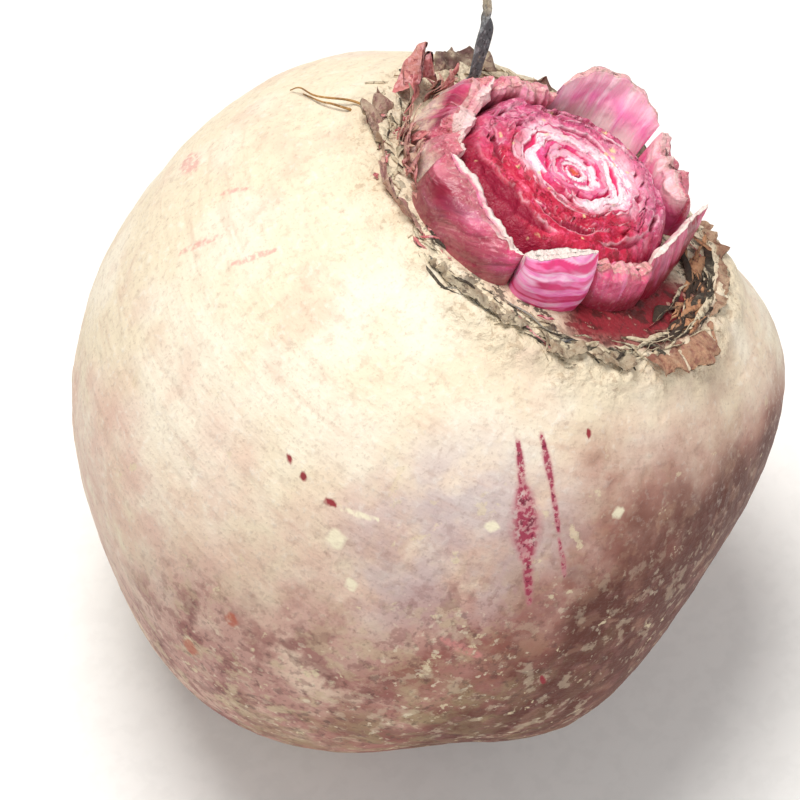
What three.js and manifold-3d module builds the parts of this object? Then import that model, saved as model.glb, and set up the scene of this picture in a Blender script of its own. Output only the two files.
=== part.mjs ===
// A beetroot with its leaves cut off, lying on its side so that the crown leans over.
// Millimetres, +Z up. The origin is the middle of the flat spot on which the root rests.
//
// Everything is first placed in the beet's own frame: its Z runs from the tail up through the
// crown, its origin is the middle of the swollen root, "around" is the angle about Z from X,
// and "polar" is the angle down from the crown. The last section lays the beet down.

import * as THREE from "three";
import { mergeVertices } from "three/addons/utils/BufferGeometryUtils.js";
import Module from "manifold-3d";

const wasm = await Module();
wasm.setup();

// ---------------------------------------------------------------- driving dimensions

const BODY_RADIUS = 44.5; // the root's greatest radius
const SHOULDER_HEIGHT = 44.7; // from the widest level up to where the shoulder would close
const TAIL_DEPTH = 51.5; // from the widest level down to where the tap root begins
const SHOULDER_FULLNESS = 2.2; // exponent of the outline: 2 is an ellipse, more is squarer
const TAIL_FULLNESS = 1.8;

const CROWN_LEAN = 33.9; // degrees between the crown's axis and the vertical
const LEAN_HEADING = 31.0; // degrees from +X to the side that the crown leans to
const REST_CUT = 1.5; // depth of the flat spot under the root

const SEAT_RADIUS = 23.6; // the flat top of the root, where the leaf stalks stand
const SEAT_HEIGHT = 39.2;
const COLLAR_POLAR = 35.8; // the corky ring round the crown
const COLLAR_WIDTH = 3.2;
const COLLAR_RISE = 0.9;

const TAIL_START_POLAR = 173;
const TAIL_END_RADIUS = 3.4; // the tap root is broken off short
const TAIL_END_DEPTH = 54.2;

const HEART_RADIUS = 13; // the bundle of the youngest stalks
const HEART_DRAWN_OUT = 1.8; // how far two sides of its edge stand out, and one is pressed in
const HEART_PUSHED_OUT = 1.2;
const HEART_PRESSED_IN = 1.2;
const HEART_TOP = 46.3;
const HEART_STALKS = 16;
const HEART_RELIEF = 0.55;
const LEAF_TURN = 137.5; // degrees from each leaf to the next one, as leaves grow

const GAP = 0.3; // between neighbouring pieces
const FLAT_TOLERANCE = 1e-3;

// Broad swellings and hollows of the root: where they lie, how far they reach, how high they rise.
const SWELLINGS = [
  { around: 331, polar: 59, reach: 22, rise: 4.8 },
  { around: 94, polar: 57, reach: 26, rise: 2.0 },
  { around: 286, polar: 111, reach: 20, rise: 2.5 },
  { around: 297, polar: 96, reach: 18, rise: -0.6 },
  { around: 269, polar: 127, reach: 14, rise: -2.0 },
  { around: 173, polar: 138, reach: 26, rise: -2.6 },
  { around: 2, polar: 138, reach: 17, rise: 1.4 },
  { around: 357, polar: 40, reach: 11, rise: -2.0 },
];

// Stubs of the older leaf stalks, in order round the heart. "foot" and "rim" are the ends of
// the middle line of the wall below and above: [around, distance from the axis] at the start and
// at the end, then how far the line bows outward between them. "thick" is the wall at the foot,
// "thin" at both ends of the rim. "tall" is the height of both ends of the rim, "arch" what the
// middle stands above them, "ragged" the unevenness of the cut, "bulge" the swell of the outside.
const LEAF_STALKS = [
  {
    foot: [165, 19.6, 213, 19.3, 2.3],
    rim: [166, 19.6, 212, 20.9, 1.0],
    thick: 6.0,
    thin: [6.2, 1.4],
    tall: [6.2, 5.3],
    arch: 0,
    ragged: 0.5,
    bulge: 0.4,
  },
  {
    foot: [215.5, 18.8, 243, 15.9, 0.9],
    rim: [214.5, 21.8, 243.5, 14.7, 0.1],
    thick: 5.4,
    thin: [1.4, 1.4],
    tall: [6.2, 6.7],
    arch: 0,
    ragged: 0.15,
    bulge: 1.0,
  },
  {
    foot: [246, 15.4, 281, 15.5, 0.8],
    rim: [246.5, 14.9, 281, 15.3, 0.75],
    thick: 4.4,
    thin: [2.6, 3.4],
    tall: [5.0, 5.0],
    arch: 0,
    ragged: 0.6,
    bulge: 0.2,
  },
  {
    foot: [284.5, 16.2, 336.5, 19.6, 0],
    rim: [284, 15.0, 337.5, 19.8, 0],
    thick: 3.0,
    thin: [1.2, 1.2],
    tall: [6.0, 6.6],
    arch: 0,
    ragged: 0.2,
    bulge: 0.2,
  },
  {
    foot: [341, 18.2, 374.5, 19.8, 0.9],
    rim: [342, 17.6, 374, 20.2, 0],
    thick: 5.0,
    thin: [5.2, 1.8],
    tall: [6.2, 6.8],
    arch: 0,
    ragged: 0.8,
    bulge: 0.3,
  },
  {
    foot: [18.5, 19.8, 60, 17.6, 2.0],
    rim: [19, 21.5, 59, 17.0, 2.6],
    thick: 3.6,
    thin: [1.3, 1.3],
    tall: [7.4, 7.4],
    arch: 2.6,
    ragged: 0.5,
    bulge: -0.4,
  },
  {
    foot: [63, 16.9, 97, 17.4, 0.7],
    rim: [63, 15.7, 97, 16.1, 0.4],
    thick: 5.0,
    thin: [2.8, 2.8],
    tall: [6.2, 6.3],
    arch: 0,
    ragged: 0.8,
    bulge: 0.2,
  },
  {
    foot: [100, 18.6, 160, 19.0, 2.2],
    rim: [101, 17.0, 159, 16.9, 1.3],
    thick: 5.2,
    thin: [4.2, 2.2],
    tall: [6.6, 6.0],
    arch: 0,
    ragged: 0.8,
    bulge: 0.3,
  },
];

// Dead leaf bases on the shoulder, round the stalks. "polar" is where the foot stands, "splay"
// is how far it falls outward (negative stands upright), "teeth" are the points of its torn edge.
const DRY_LEAF_BASES = [
  { around: 114, spread: 8.5, polar: 32.2, splay: -4.0, tall: 7.2, teeth: 2, torn: 0.75 },
  { around: 139, spread: 13, polar: 32.2, splay: 1.5, tall: 3.4, teeth: 4, torn: 0.6 },
  { around: 169, spread: 16, polar: 32.2, splay: 0.5, tall: 3.6, teeth: 3, torn: 0.6 },
  { around: 208, spread: 19, polar: 32.2, splay: 2.5, tall: 1.6, teeth: 5, torn: 0.6 },
  { around: 246, spread: 17, polar: 32.2, splay: 2.0, tall: 1.8, teeth: 4, torn: 0.6 },
  { around: 284, spread: 19, polar: 32.4, splay: 4.0, tall: 2.6, teeth: 2, torn: 0.3 },
  { around: 329, spread: 23, polar: 32.2, splay: 1.0, tall: 2.4, teeth: 5, torn: 0.5 },
  { around: 30, spread: 33, polar: 32.2, splay: 0.5, tall: 1.9, teeth: 7, torn: 0.4 },
  { around: 84, spread: 15, polar: 32.2, splay: 1.5, tall: 2.4, teeth: 4, torn: 0.4 },
];
const DRY_THICKNESS = 0.8;

// One withered leaf stalk that still hangs on: a flat strap that leans out over the shoulder.
// "out" is the distance from the axis, "up" the height over the seat, "turned" the twist.
const WITHERED_STALK = [
  { around: 86, out: 22.3, up: 0.6, wide: 1.8, turned: 0 },
  { around: 85.8, out: 22.8, up: 1.9, wide: 2.4, turned: 6 },
  { around: 85.3, out: 25.4, up: 6.6, wide: 3.0, turned: 18 },
  { around: 85.8, out: 27.2, up: 9.6, wide: 2.8, turned: 60 },
  { around: 86.8, out: 29.6, up: 12.6, wide: 1.7, turned: 40 },
  { around: 88.1, out: 32.8, up: 15.1, wide: 1.5, turned: 20 },
  { around: 88.9, out: 34.9, up: 16.1, wide: 1.1, turned: 10 },
];
const WITHERED_THICKNESS = 0.9;

// Fine strands that lie over the skin: [around, polar, lift off the skin] of their bends.
const CROWN_FIBRES = [
  [[132, 37.5, 0.9], [130, 41, 1.4], [127, 45, 1.5], [121, 50, 0.9]],
  [[137, 39.5, 0.9], [133, 43.5, 1.3], [128.5, 47, 0.9]],
];
const ROOTLETS = [
  [[82, 171, 0.9], [76, 165, 1.8], [80, 158, 1.5], [73, 151, 0.9]],
  [[100, 170, 0.9], [96, 162, 1.6], [102, 153, 2.2], [95, 145, 1.0]],
  [[118, 171, 0.9], [110, 165, 1.5], [115, 159, 1.8], [107, 153, 0.9]],
  [[60, 171, 0.9], [53, 165, 1.4], [58, 159, 1.6], [51, 153, 0.9]],
  [[300, 171, 0.9], [306, 166, 1.2], [300, 161, 1.3], [307, 155, 0.9]],
];
const STRAND_RADIUS = 0.4;

// ---------------------------------------------------------------- small helpers

const radians = THREE.MathUtils.degToRad;
const lerp = THREE.MathUtils.lerp;

// A point of the beet's frame from its distance to the axis, its angle round it and its height.
function cylindrical(radius, around, height) {
  return new THREE.Vector3(radius * Math.cos(around), radius * Math.sin(around), height);
}

// The direction from the middle of the root at these two angles.
function direction(around, polar) {
  return cylindrical(Math.sin(polar), around, Math.cos(polar));
}

// A slow waver round the crown between -1 and 1, different for each seed.
function waver(around, seed) {
  return (
    0.5 * Math.sin(5 * around + 2.3 * seed) +
    0.3 * Math.sin(9 * around + 4.1 * seed) +
    0.2 * Math.sin(14 * around + 1.7 * seed)
  );
}

// A closed body from its rings of points: each ring has the same number of points and goes
// counter-clockwise seen from above, the first ring is the top one, and the ends are closed
// by a fan to the two end points.
function bodyFromRings(top, rings, bottom) {
  const count = rings[0].length;
  const points = [top, ...rings.flat(), bottom];
  const last = points.length - 1;
  const faces = [];
  const at = (ring, i) => 1 + ring * count + (i % count);
  for (let i = 0; i < count; i += 1) {
    faces.push(0, at(0, i), at(0, i + 1));
    faces.push(last, at(rings.length - 1, i + 1), at(rings.length - 1, i));
    for (let ring = 0; ring + 1 < rings.length; ring += 1) {
      faces.push(at(ring, i), at(ring + 1, i), at(ring + 1, i + 1));
      faces.push(at(ring, i), at(ring + 1, i + 1), at(ring, i + 1));
    }
  }
  return new THREE.BufferGeometry().setFromPoints(points).setIndex(faces);
}

// A closed sheet between an outer and an inner face. Both are functions of "across" from -1
// to 1, counter-clockwise seen from above, and "up" from 0 to 1.
function sheetBetween(outer, inner, acrossSteps, upSteps) {
  const points = [];
  for (const face of [outer, inner]) {
    for (let j = 0; j <= upSteps; j += 1) {
      for (let i = 0; i <= acrossSteps; i += 1) {
        points.push(face((2 * i) / acrossSteps - 1, j / upSteps));
      }
    }
  }
  const row = acrossSteps + 1;
  const onOuter = (i, j) => j * row + i;
  const onInner = (i, j) => (upSteps + 1 + j) * row + i;
  const faces = [];
  const quad = (a, b, c, d) => faces.push(a, b, c, a, c, d);
  for (let i = 0; i < acrossSteps; i += 1) {
    for (let j = 0; j < upSteps; j += 1) {
      quad(onOuter(i, j), onOuter(i + 1, j), onOuter(i + 1, j + 1), onOuter(i, j + 1));
      quad(onInner(i, j), onInner(i, j + 1), onInner(i + 1, j + 1), onInner(i + 1, j));
    }
    quad(onOuter(i, upSteps), onOuter(i + 1, upSteps), onInner(i + 1, upSteps), onInner(i, upSteps));
    quad(onOuter(i, 0), onInner(i, 0), onInner(i + 1, 0), onOuter(i + 1, 0));
  }
  for (let j = 0; j < upSteps; j += 1) {
    quad(onOuter(0, j), onOuter(0, j + 1), onInner(0, j + 1), onInner(0, j));
    quad(
      onOuter(acrossSteps, j),
      onInner(acrossSteps, j),
      onInner(acrossSteps, j + 1),
      onOuter(acrossSteps, j + 1),
    );
  }
  return new THREE.BufferGeometry().setFromPoints(points).setIndex(faces);
}

// ---------------------------------------------------------------- the root's skin

function swelling(around, polar) {
  const here = direction(around, polar);
  let rise = 0;
  for (const swell of SWELLINGS) {
    const away = here.angleTo(direction(radians(swell.around), radians(swell.polar)));
    rise += swell.rise * Math.exp(-((away / radians(swell.reach)) ** 2));
  }
  return rise;
}

// Small unevenness all over, fading out towards the two ends.
function unevenness(around, polar) {
  const lengthwise = 0.22 * Math.sin(3 * around + 2 * Math.sin(2 * polar));
  const slanting = 0.16 * Math.sin(5 * around - 4 * polar);
  const tailRings = 0.14 * Math.sin(34 * polar) * Math.max(0, -Math.cos(polar)) ** 3;
  return (lengthwise + slanting) * Math.sin(polar) + tailRings;
}

// Distance from the middle of the root to its skin.
function skinRadius(around, polar) {
  const across = Math.sin(polar) / BODY_RADIUS;
  const upward = Math.cos(polar) > 0;
  const reach = upward ? SHOULDER_HEIGHT : TAIL_DEPTH;
  const fullness = upward ? SHOULDER_FULLNESS : TAIL_FULLNESS;
  const along = Math.abs(Math.cos(polar)) / reach;
  const smooth = (across ** fullness + along ** fullness) ** (-1 / fullness);
  const fromCollar = (polar - radians(COLLAR_POLAR)) / radians(COLLAR_WIDTH);
  const collar = COLLAR_RISE * (0.7 + 0.3 * waver(around, 1)) * Math.exp(-(fromCollar ** 2));
  return smooth + swelling(around, polar) + unevenness(around, polar) + collar;
}

// A point at a height above the skin.
function overSkin(around, polar, lift) {
  return direction(around, polar).multiplyScalar(skinRadius(around, polar) + lift);
}

// ---------------------------------------------------------------- pieces

const ROUND = 64; // points of each ring of the root

// The swollen root: flat seat on top, skin from the crown to the tail, short stub of tap root.
function rootGeometry() {
  const turns = Array.from({ length: ROUND }, (_, i) => (i / ROUND) * 2 * Math.PI);
  const seatRings = [0.4, 0.75, 1].map((share) =>
    turns.map((around) => cylindrical(share * SEAT_RADIUS, around, SEAT_HEIGHT)),
  );
  const skinSteps = 26;
  const firstPolar = Math.atan2(SEAT_RADIUS + 0.5, SEAT_HEIGHT);
  const skinRings = Array.from({ length: skinSteps + 1 }, (_, i) => {
    const share = i / skinSteps;
    // Rings lie closer together at the collar.
    const polar = lerp(firstPolar, radians(TAIL_START_POLAR), share ** 1.25);
    return turns.map((around) => overSkin(around, polar, 0));
  });
  const tailSteps = 4;
  const tailRings = Array.from({ length: tailSteps }, (_, i) => {
    const share = (i + 1) / tailSteps;
    return turns.map((around) => {
      const start = overSkin(around, radians(TAIL_START_POLAR), 0);
      const radius = lerp(Math.hypot(start.x, start.y), TAIL_END_RADIUS, share ** 0.6);
      return cylindrical(radius, around, lerp(start.z, -TAIL_END_DEPTH, share));
    });
  });
  return bodyFromRings(
    new THREE.Vector3(0, 0, SEAT_HEIGHT),
    [...seatRings, ...skinRings, ...tailRings],
    new THREE.Vector3(0, 0, -TAIL_END_DEPTH - 0.5),
  );
}

// Height of the crescents on the cut heart: each young stalk is a curved ridge that covers
// part of the way round, and each next one stands further out and turned by LEAF_TURN.
function heartRelief(radius, around) {
  let height = 0;
  for (let leaf = 0; leaf < HEART_STALKS; leaf += 1) {
    const turn = Math.cos(around - radians(leaf * LEAF_TURN));
    const ridge = 1.2 + (leaf / HEART_STALKS) * (HEART_RADIUS - 2.4) + 0.5 * turn;
    const near = Math.exp(-(((radius - ridge) / 0.5) ** 2));
    height = Math.max(height, near * Math.max(0, 0.4 + 0.6 * turn));
  }
  return HEART_RELIEF * height;
}

// Distance from the axis to the edge of the heart: a wavering circle, drawn out on one side and
// pressed in on the next.
function heartEdge(around) {
  const near = (heading) => Math.exp(5 * (Math.cos(around - radians(heading)) - 1));
  const circle = HEART_RADIUS * (1 + 0.02 * waver(around, 5));
  return circle + HEART_DRAWN_OUT * near(178) + HEART_PUSHED_OUT * near(8) - HEART_PRESSED_IN * near(297);
}

// The bundle of youngest stalks: a drum whose top is the cut face with its crescents.
function heartGeometry() {
  const points = 48;
  const turns = Array.from({ length: points }, (_, i) => (i / points) * 2 * Math.PI);
  const faceSteps = 10;
  const faceRings = Array.from({ length: faceSteps }, (_, i) => {
    const share = (i + 1) / faceSteps;
    return turns.map((around) => {
      const radius = share * heartEdge(around);
      const height = HEART_TOP - 0.9 * share ** 3 + heartRelief(radius, around);
      return cylindrical(radius, around, height);
    });
  });
  const foot = SEAT_HEIGHT + GAP;
  const footRing = turns.map((around) => cylindrical(heartEdge(around) + 0.4, around, foot));
  return bodyFromRings(
    new THREE.Vector3(0, 0, HEART_TOP + 0.3),
    [...faceRings, footRing],
    new THREE.Vector3(0, 0, foot),
  );
}

// A line in plan between two ends, bowed outward as a parabola, with the direction out of it.
function bowedLine([startAround, startOut, endAround, endOut, bow], across) {
  const start = cylindrical(startOut, radians(startAround), 0);
  const end = cylindrical(endOut, radians(endAround), 0);
  const half = end.clone().sub(start).multiplyScalar(0.5);
  const outward = new THREE.Vector3(half.y, -half.x, 0).normalize();
  const point = start.clone().add(end).multiplyScalar(0.5);
  point.addScaledVector(half, across);
  point.addScaledVector(outward, bow * (1 - across * across));
  const tangent = half.clone().addScaledVector(outward, -2 * bow * across);
  return { point, normal: new THREE.Vector3(tangent.y, -tangent.x, 0).normalize() };
}

// One cut leaf stalk: a wall that stands on the seat round the heart and thins to its rim.
function stalkGeometry({ foot, rim, thick, thin, tall, arch, ragged, bulge }, seed) {
  const face = (side) => (across, up) => {
    const below = bowedLine(foot, across);
    const above = bowedLine(rim, across);
    const place = below.point.clone().lerp(above.point, up);
    const normal = below.normal.clone().lerp(above.normal, up);
    const fromStart = (across + 1) / 2;
    const edge = Math.sqrt(1 - 0.9 * across ** 4);
    const rimWall = lerp(thin[0], thin[1], fromStart);
    const halfWall = 0.5 * edge * lerp(thick, rimWall, up ** 1.3);
    const swell = side > 0 ? bulge * 4 * up * (1 - up) : 0;
    place.addScaledVector(normal, side * halfWall + swell);
    const rise = lerp(tall[0], tall[1], fromStart) + arch * (1 - across * across);
    const jagged = ragged * waver(Math.atan2(place.y, place.x) * 1.7, seed);
    return place.setZ(SEAT_HEIGHT + GAP + up * (rise + jagged));
  };
  return sheetBetween(face(1), face(-1), 12, 6);
}

// One dead, papery leaf base, torn along its upper edge.
function dryBaseGeometry({ around, spread, polar, splay, tall, teeth, torn }, seed) {
  const face = (side) => (across, up) => {
    const turn = radians(around + spread * across * (1 - 0.2 * up));
    const tooth = Math.abs(Math.sin((teeth * Math.PI * (across + 1)) / 2));
    const reach = tall * (1 - torn + torn * tooth) * (1 + 0.4 * waver(turn, seed));
    const lean = polar + splay * up * up + 0.35 * Math.sin(3 * across + seed);
    const thickness = (0.5 * side * DRY_THICKNESS) / (BODY_RADIUS * radians(1));
    return overSkin(turn, radians(lean + thickness * (1 - 0.4 * up)), GAP + up * reach);
  };
  return sheetBetween(face(1), face(-1), 4 * teeth + 4, 3);
}

// The withered stalk: an oval section carried along its bends and twisted on the way.
function witheredStalkGeometry() {
  const bends = WITHERED_STALK.map(({ around, out, up }) =>
    cylindrical(out, radians(around), SEAT_HEIGHT + up),
  );
  const line = new THREE.CatmullRomCurve3(bends);
  const corners = 10;
  const stretches = WITHERED_STALK.length - 1;
  const ring = (place) => {
    const from = Math.min(Math.floor(place), stretches - 1);
    const part = place - from;
    const wide = lerp(WITHERED_STALK[from].wide, WITHERED_STALK[from + 1].wide, part);
    const turned = lerp(WITHERED_STALK[from].turned, WITHERED_STALK[from + 1].turned, part);
    const centre = line.getPoint(place / stretches);
    const forward = line.getTangent(place / stretches);
    const outward = new THREE.Vector3(centre.x, centre.y, 0).normalize();
    const side = new THREE.Vector3().crossVectors(forward, outward).normalize();
    side.applyAxisAngle(forward, radians(turned));
    const through = new THREE.Vector3().crossVectors(forward, side);
    return Array.from({ length: corners }, (_, i) => {
      const angle = (i / corners) * 2 * Math.PI;
      const point = centre.clone().addScaledVector(side, 0.5 * wide * Math.cos(angle));
      return point.addScaledVector(through, 0.5 * WITHERED_THICKNESS * Math.sin(angle));
    });
  };
  const steps = 2 * stretches;
  const rings = Array.from({ length: steps + 1 }, (_, i) => ring(stretches - i / 2));
  return bodyFromRings(line.getPoint(1), rings, line.getPoint(0));
}

// A thin strand over the skin, with a round section.
function strandGeometry(bends, steps) {
  const points = bends.map(([around, polar, lift]) => overSkin(radians(around), radians(polar), lift));
  const section = new THREE.Shape().absarc(0, 0, STRAND_RADIUS, 0, 2 * Math.PI);
  return new THREE.ExtrudeGeometry(section, {
    steps,
    curveSegments: 4,
    bevelEnabled: false,
    extrudePath: new THREE.CatmullRomCurve3(points),
  });
}

// ---------------------------------------------------------------- cutting the flat spot

// The geometry's vertices alone, merged, as the solid library needs them.
function toSolid(geometry) {
  geometry.deleteAttribute("normal");
  geometry.deleteAttribute("uv");
  const merged = mergeVertices(geometry);
  return new wasm.Manifold(
    new wasm.Mesh({
      numProp: 3,
      vertProperties: new Float32Array(merged.attributes.position.array),
      triVerts: new Uint32Array(merged.index.array),
    }),
  );
}

function toGeometry(solid) {
  const mesh = solid.getMesh();
  const geometry = new THREE.BufferGeometry();
  geometry.setAttribute("position", new THREE.BufferAttribute(mesh.vertProperties, 3));
  geometry.setIndex(new THREE.BufferAttribute(mesh.triVerts, 1));
  return geometry;
}

// The root, laid down and cut flat at the floor, and the middle of its flat spot.
function lyingRoot(lying) {
  const upright = rootGeometry();
  upright.applyQuaternion(lying);
  upright.computeBoundingBox();
  const floor = upright.boundingBox.min.z + REST_CUT;
  const depth = 10;
  const below = new THREE.BoxGeometry(4 * BODY_RADIUS, 4 * BODY_RADIUS, depth);
  below.translate(0, 0, floor - depth / 2);
  const geometry = toGeometry(toSolid(upright).subtract(toSolid(below)));
  const flat = new THREE.Box3();
  const corner = new THREE.Vector3();
  for (let i = 0; i < geometry.attributes.position.count; i += 1) {
    corner.fromBufferAttribute(geometry.attributes.position, i);
    if (corner.z < floor + FLAT_TOLERANCE) flat.expandByPoint(corner);
  }
  return { geometry, restPoint: flat.getCenter(new THREE.Vector3()) };
}

// ---------------------------------------------------------------- materials

function material(colour, roughness) {
  return new THREE.MeshStandardMaterial({ color: colour, roughness, metalness: 0 });
}

const skin = () => material(0xd9bfa8, 0.62);
const cutHeart = () => material(0xe26a92, 0.5);
const stalkFlesh = () => material(0xbf3f68, 0.45);
const dryLeaf = () => material(0x8a6a48, 0.9);
const fineRoot = () => material(0xa98a5c, 0.9);

// ---------------------------------------------------------------- assembly

// Turns the crown's axis away from the vertical, towards its heading.
const heading = new THREE.Quaternion().setFromAxisAngle(
  new THREE.Vector3(0, 0, 1),
  radians(LEAN_HEADING),
);
const lean = new THREE.Quaternion().setFromAxisAngle(new THREE.Vector3(0, 1, 0), radians(CROWN_LEAN));
const lying = heading.clone().multiply(lean);

const beetroot = new THREE.Group();
beetroot.name = "beetroot";
const { geometry: rootShape, restPoint } = lyingRoot(lying);
beetroot.position.copy(restPoint).negate();

function addPiece(parent, name, geometry, look) {
  const piece = new THREE.Mesh(geometry, look);
  piece.name = name;
  parent.add(piece);
}

addPiece(beetroot, "root", rootShape, skin());

const leaning = new THREE.Group();
leaning.quaternion.copy(lying);
beetroot.add(leaning);

addPiece(leaning, "stalk_heart", heartGeometry(), cutHeart());
LEAF_STALKS.forEach((stalk, i) => {
  addPiece(leaning, `leaf_stalk_${i + 1}`, stalkGeometry(stalk, i), stalkFlesh());
});
DRY_LEAF_BASES.forEach((base, i) => {
  addPiece(leaning, `dry_leaf_base_${i + 1}`, dryBaseGeometry(base, i), dryLeaf());
});
addPiece(leaning, "withered_stalk", witheredStalkGeometry(), dryLeaf());
CROWN_FIBRES.forEach((bends, i) => {
  addPiece(leaning, `crown_fibre_${i + 1}`, strandGeometry(bends, 8), dryLeaf());
});
ROOTLETS.forEach((bends, i) => {
  addPiece(leaning, `rootlet_${i + 1}`, strandGeometry(bends, 10), fineRoot());
});

export default beetroot;
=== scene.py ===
"""A beetroot with its leaves cut off, lying on its side: the finish of every surface.

Every shape is worked out in millimetres in the beet's own frame and then laid down. In that
frame Z runs from the tail up through the crown, the origin is the middle of the swollen root,
"around" is the angle about Z from X, and "polar" is the angle down from the crown. The driving
dimensions are those of the solids, so each dressed piece lies on the solid that it stands for.
"""

import itertools
import math
from collections import defaultdict
from functools import reduce

import bpy
import numpy as np
from bpy.props import FloatProperty, FloatVectorProperty, IntProperty, PointerProperty
from mathutils import Euler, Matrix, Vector


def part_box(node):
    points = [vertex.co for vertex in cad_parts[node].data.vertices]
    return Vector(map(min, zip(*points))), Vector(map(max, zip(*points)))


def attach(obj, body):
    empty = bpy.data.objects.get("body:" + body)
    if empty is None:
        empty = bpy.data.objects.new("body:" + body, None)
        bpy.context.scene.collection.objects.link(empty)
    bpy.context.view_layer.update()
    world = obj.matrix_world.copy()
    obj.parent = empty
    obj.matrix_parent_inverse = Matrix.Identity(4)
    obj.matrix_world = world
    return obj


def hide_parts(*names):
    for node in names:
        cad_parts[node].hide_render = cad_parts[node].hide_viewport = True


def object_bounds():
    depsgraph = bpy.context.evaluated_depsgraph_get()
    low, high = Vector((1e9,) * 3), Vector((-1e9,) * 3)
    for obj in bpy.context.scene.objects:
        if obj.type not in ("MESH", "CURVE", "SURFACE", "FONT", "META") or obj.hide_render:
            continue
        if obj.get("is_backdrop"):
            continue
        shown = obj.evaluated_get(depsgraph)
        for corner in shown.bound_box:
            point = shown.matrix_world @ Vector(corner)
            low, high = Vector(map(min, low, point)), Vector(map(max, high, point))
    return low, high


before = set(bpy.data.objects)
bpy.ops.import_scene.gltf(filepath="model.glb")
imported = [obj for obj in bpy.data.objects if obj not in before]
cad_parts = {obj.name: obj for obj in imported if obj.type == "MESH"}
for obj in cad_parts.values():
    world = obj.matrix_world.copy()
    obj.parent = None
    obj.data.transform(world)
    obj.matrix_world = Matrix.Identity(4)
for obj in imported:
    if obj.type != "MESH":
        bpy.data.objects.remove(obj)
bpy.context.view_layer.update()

bl_info = {
    "name": "Beetroot",
    "version": (1, 0, 0),
    "blender": (4, 5, 0),
    "location": "3D View > Sidebar > Beetroot",
    "description": "A whole beetroot with its cut crown, lying on its side",
    "category": "Add Mesh",
}

# ---------------------------------------------------------------- dimensions, in mm and degrees

MM = 0.001
BODY_RADIUS = 44.5
SHOULDER_HEIGHT = 44.7
TAIL_DEPTH = 51.5
SHOULDER_FULLNESS = 2.2
TAIL_FULLNESS = 1.8
CROWN_LEAN = 33.9
LEAN_HEADING = 31.0
SEAT_RADIUS = 23.6
SEAT_HEIGHT = 39.2
COLLAR_POLAR = 35.8
COLLAR_WIDTH = 3.2
COLLAR_RISE = 0.9
COLLAR_RADIUS = 22.0
TAIL_START_POLAR = 173.0
TAIL_END_RADIUS = 3.4
TAIL_END_DEPTH = 54.2
HEART_RADIUS = 13.0
HEART_TOP = 46.3
HEART_LEAVES = 24
LEAF_TURN = 137.5
# The growing point's around and distance to the axis, the direction in which the bright middle
# of the heart is drawn out, and its reddened side.
GROWING_POINT = (200.0, 1.6)
BRIGHT_AROUND = 330.0
RED_AROUND = 215.0
# Where the edge of the heart bulges out or in: around, rise in mm.
HEART_BULGES = ((178, 1.8), (8, 1.2), (297, -1.2))
# Round the crown: where the collar is split, where it is hollow, where its shreds are pinkish,
# where it reaches further down, where the seat is bare and where it lies in shadow.
DARK_SPLIT, PALE_SPLIT, HOLLOW, PINKISH = 222, 300, 316, 165
DRAWN_DOWN, BARE, SHADED = 250, 275, 270
# The side with the marks, round the crown, and the lilac spot's around and polar.
MARKED_SIDE = 235
LILAC_SPOT = (236, 71)
# How much of the distance to the axis counts in noise that is drawn out into rings.
RINGED = 0.12

# How finely each surface is drawn: rows along it, columns or steps across it.
COLUMNS, SKIN_ROWS, TAIL_ROWS, HEART_ROWS, SKIRT_ROWS = 420, 200, 11, 141, 26
STALK_STEPS, STALK_ROWS, CUT_ROWS = 88, 56, 13
DRY_BASE_STEPS, DRY_BASE_ROWS, STRAP_COLUMNS, STRAP_ROWS = 60, 24, 28, 90
STRAND_COLUMNS, STRAND_ROWS, HAIR_ROWS, SHRED_ROWS = 6, 40, 22, 9

# Broad swellings and hollows: around, polar, reach in degrees, rise in mm.
SWELLINGS = (
    (331, 59, 22, 4.8),
    (94, 57, 26, 2.0),
    (286, 111, 20, 2.5),
    (297, 96, 18, -0.6),
    (269, 127, 14, -2.0),
    (173, 138, 26, -2.6),
    (2, 138, 17, 1.4),
    (357, 40, 11, -2.0),
)

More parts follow.
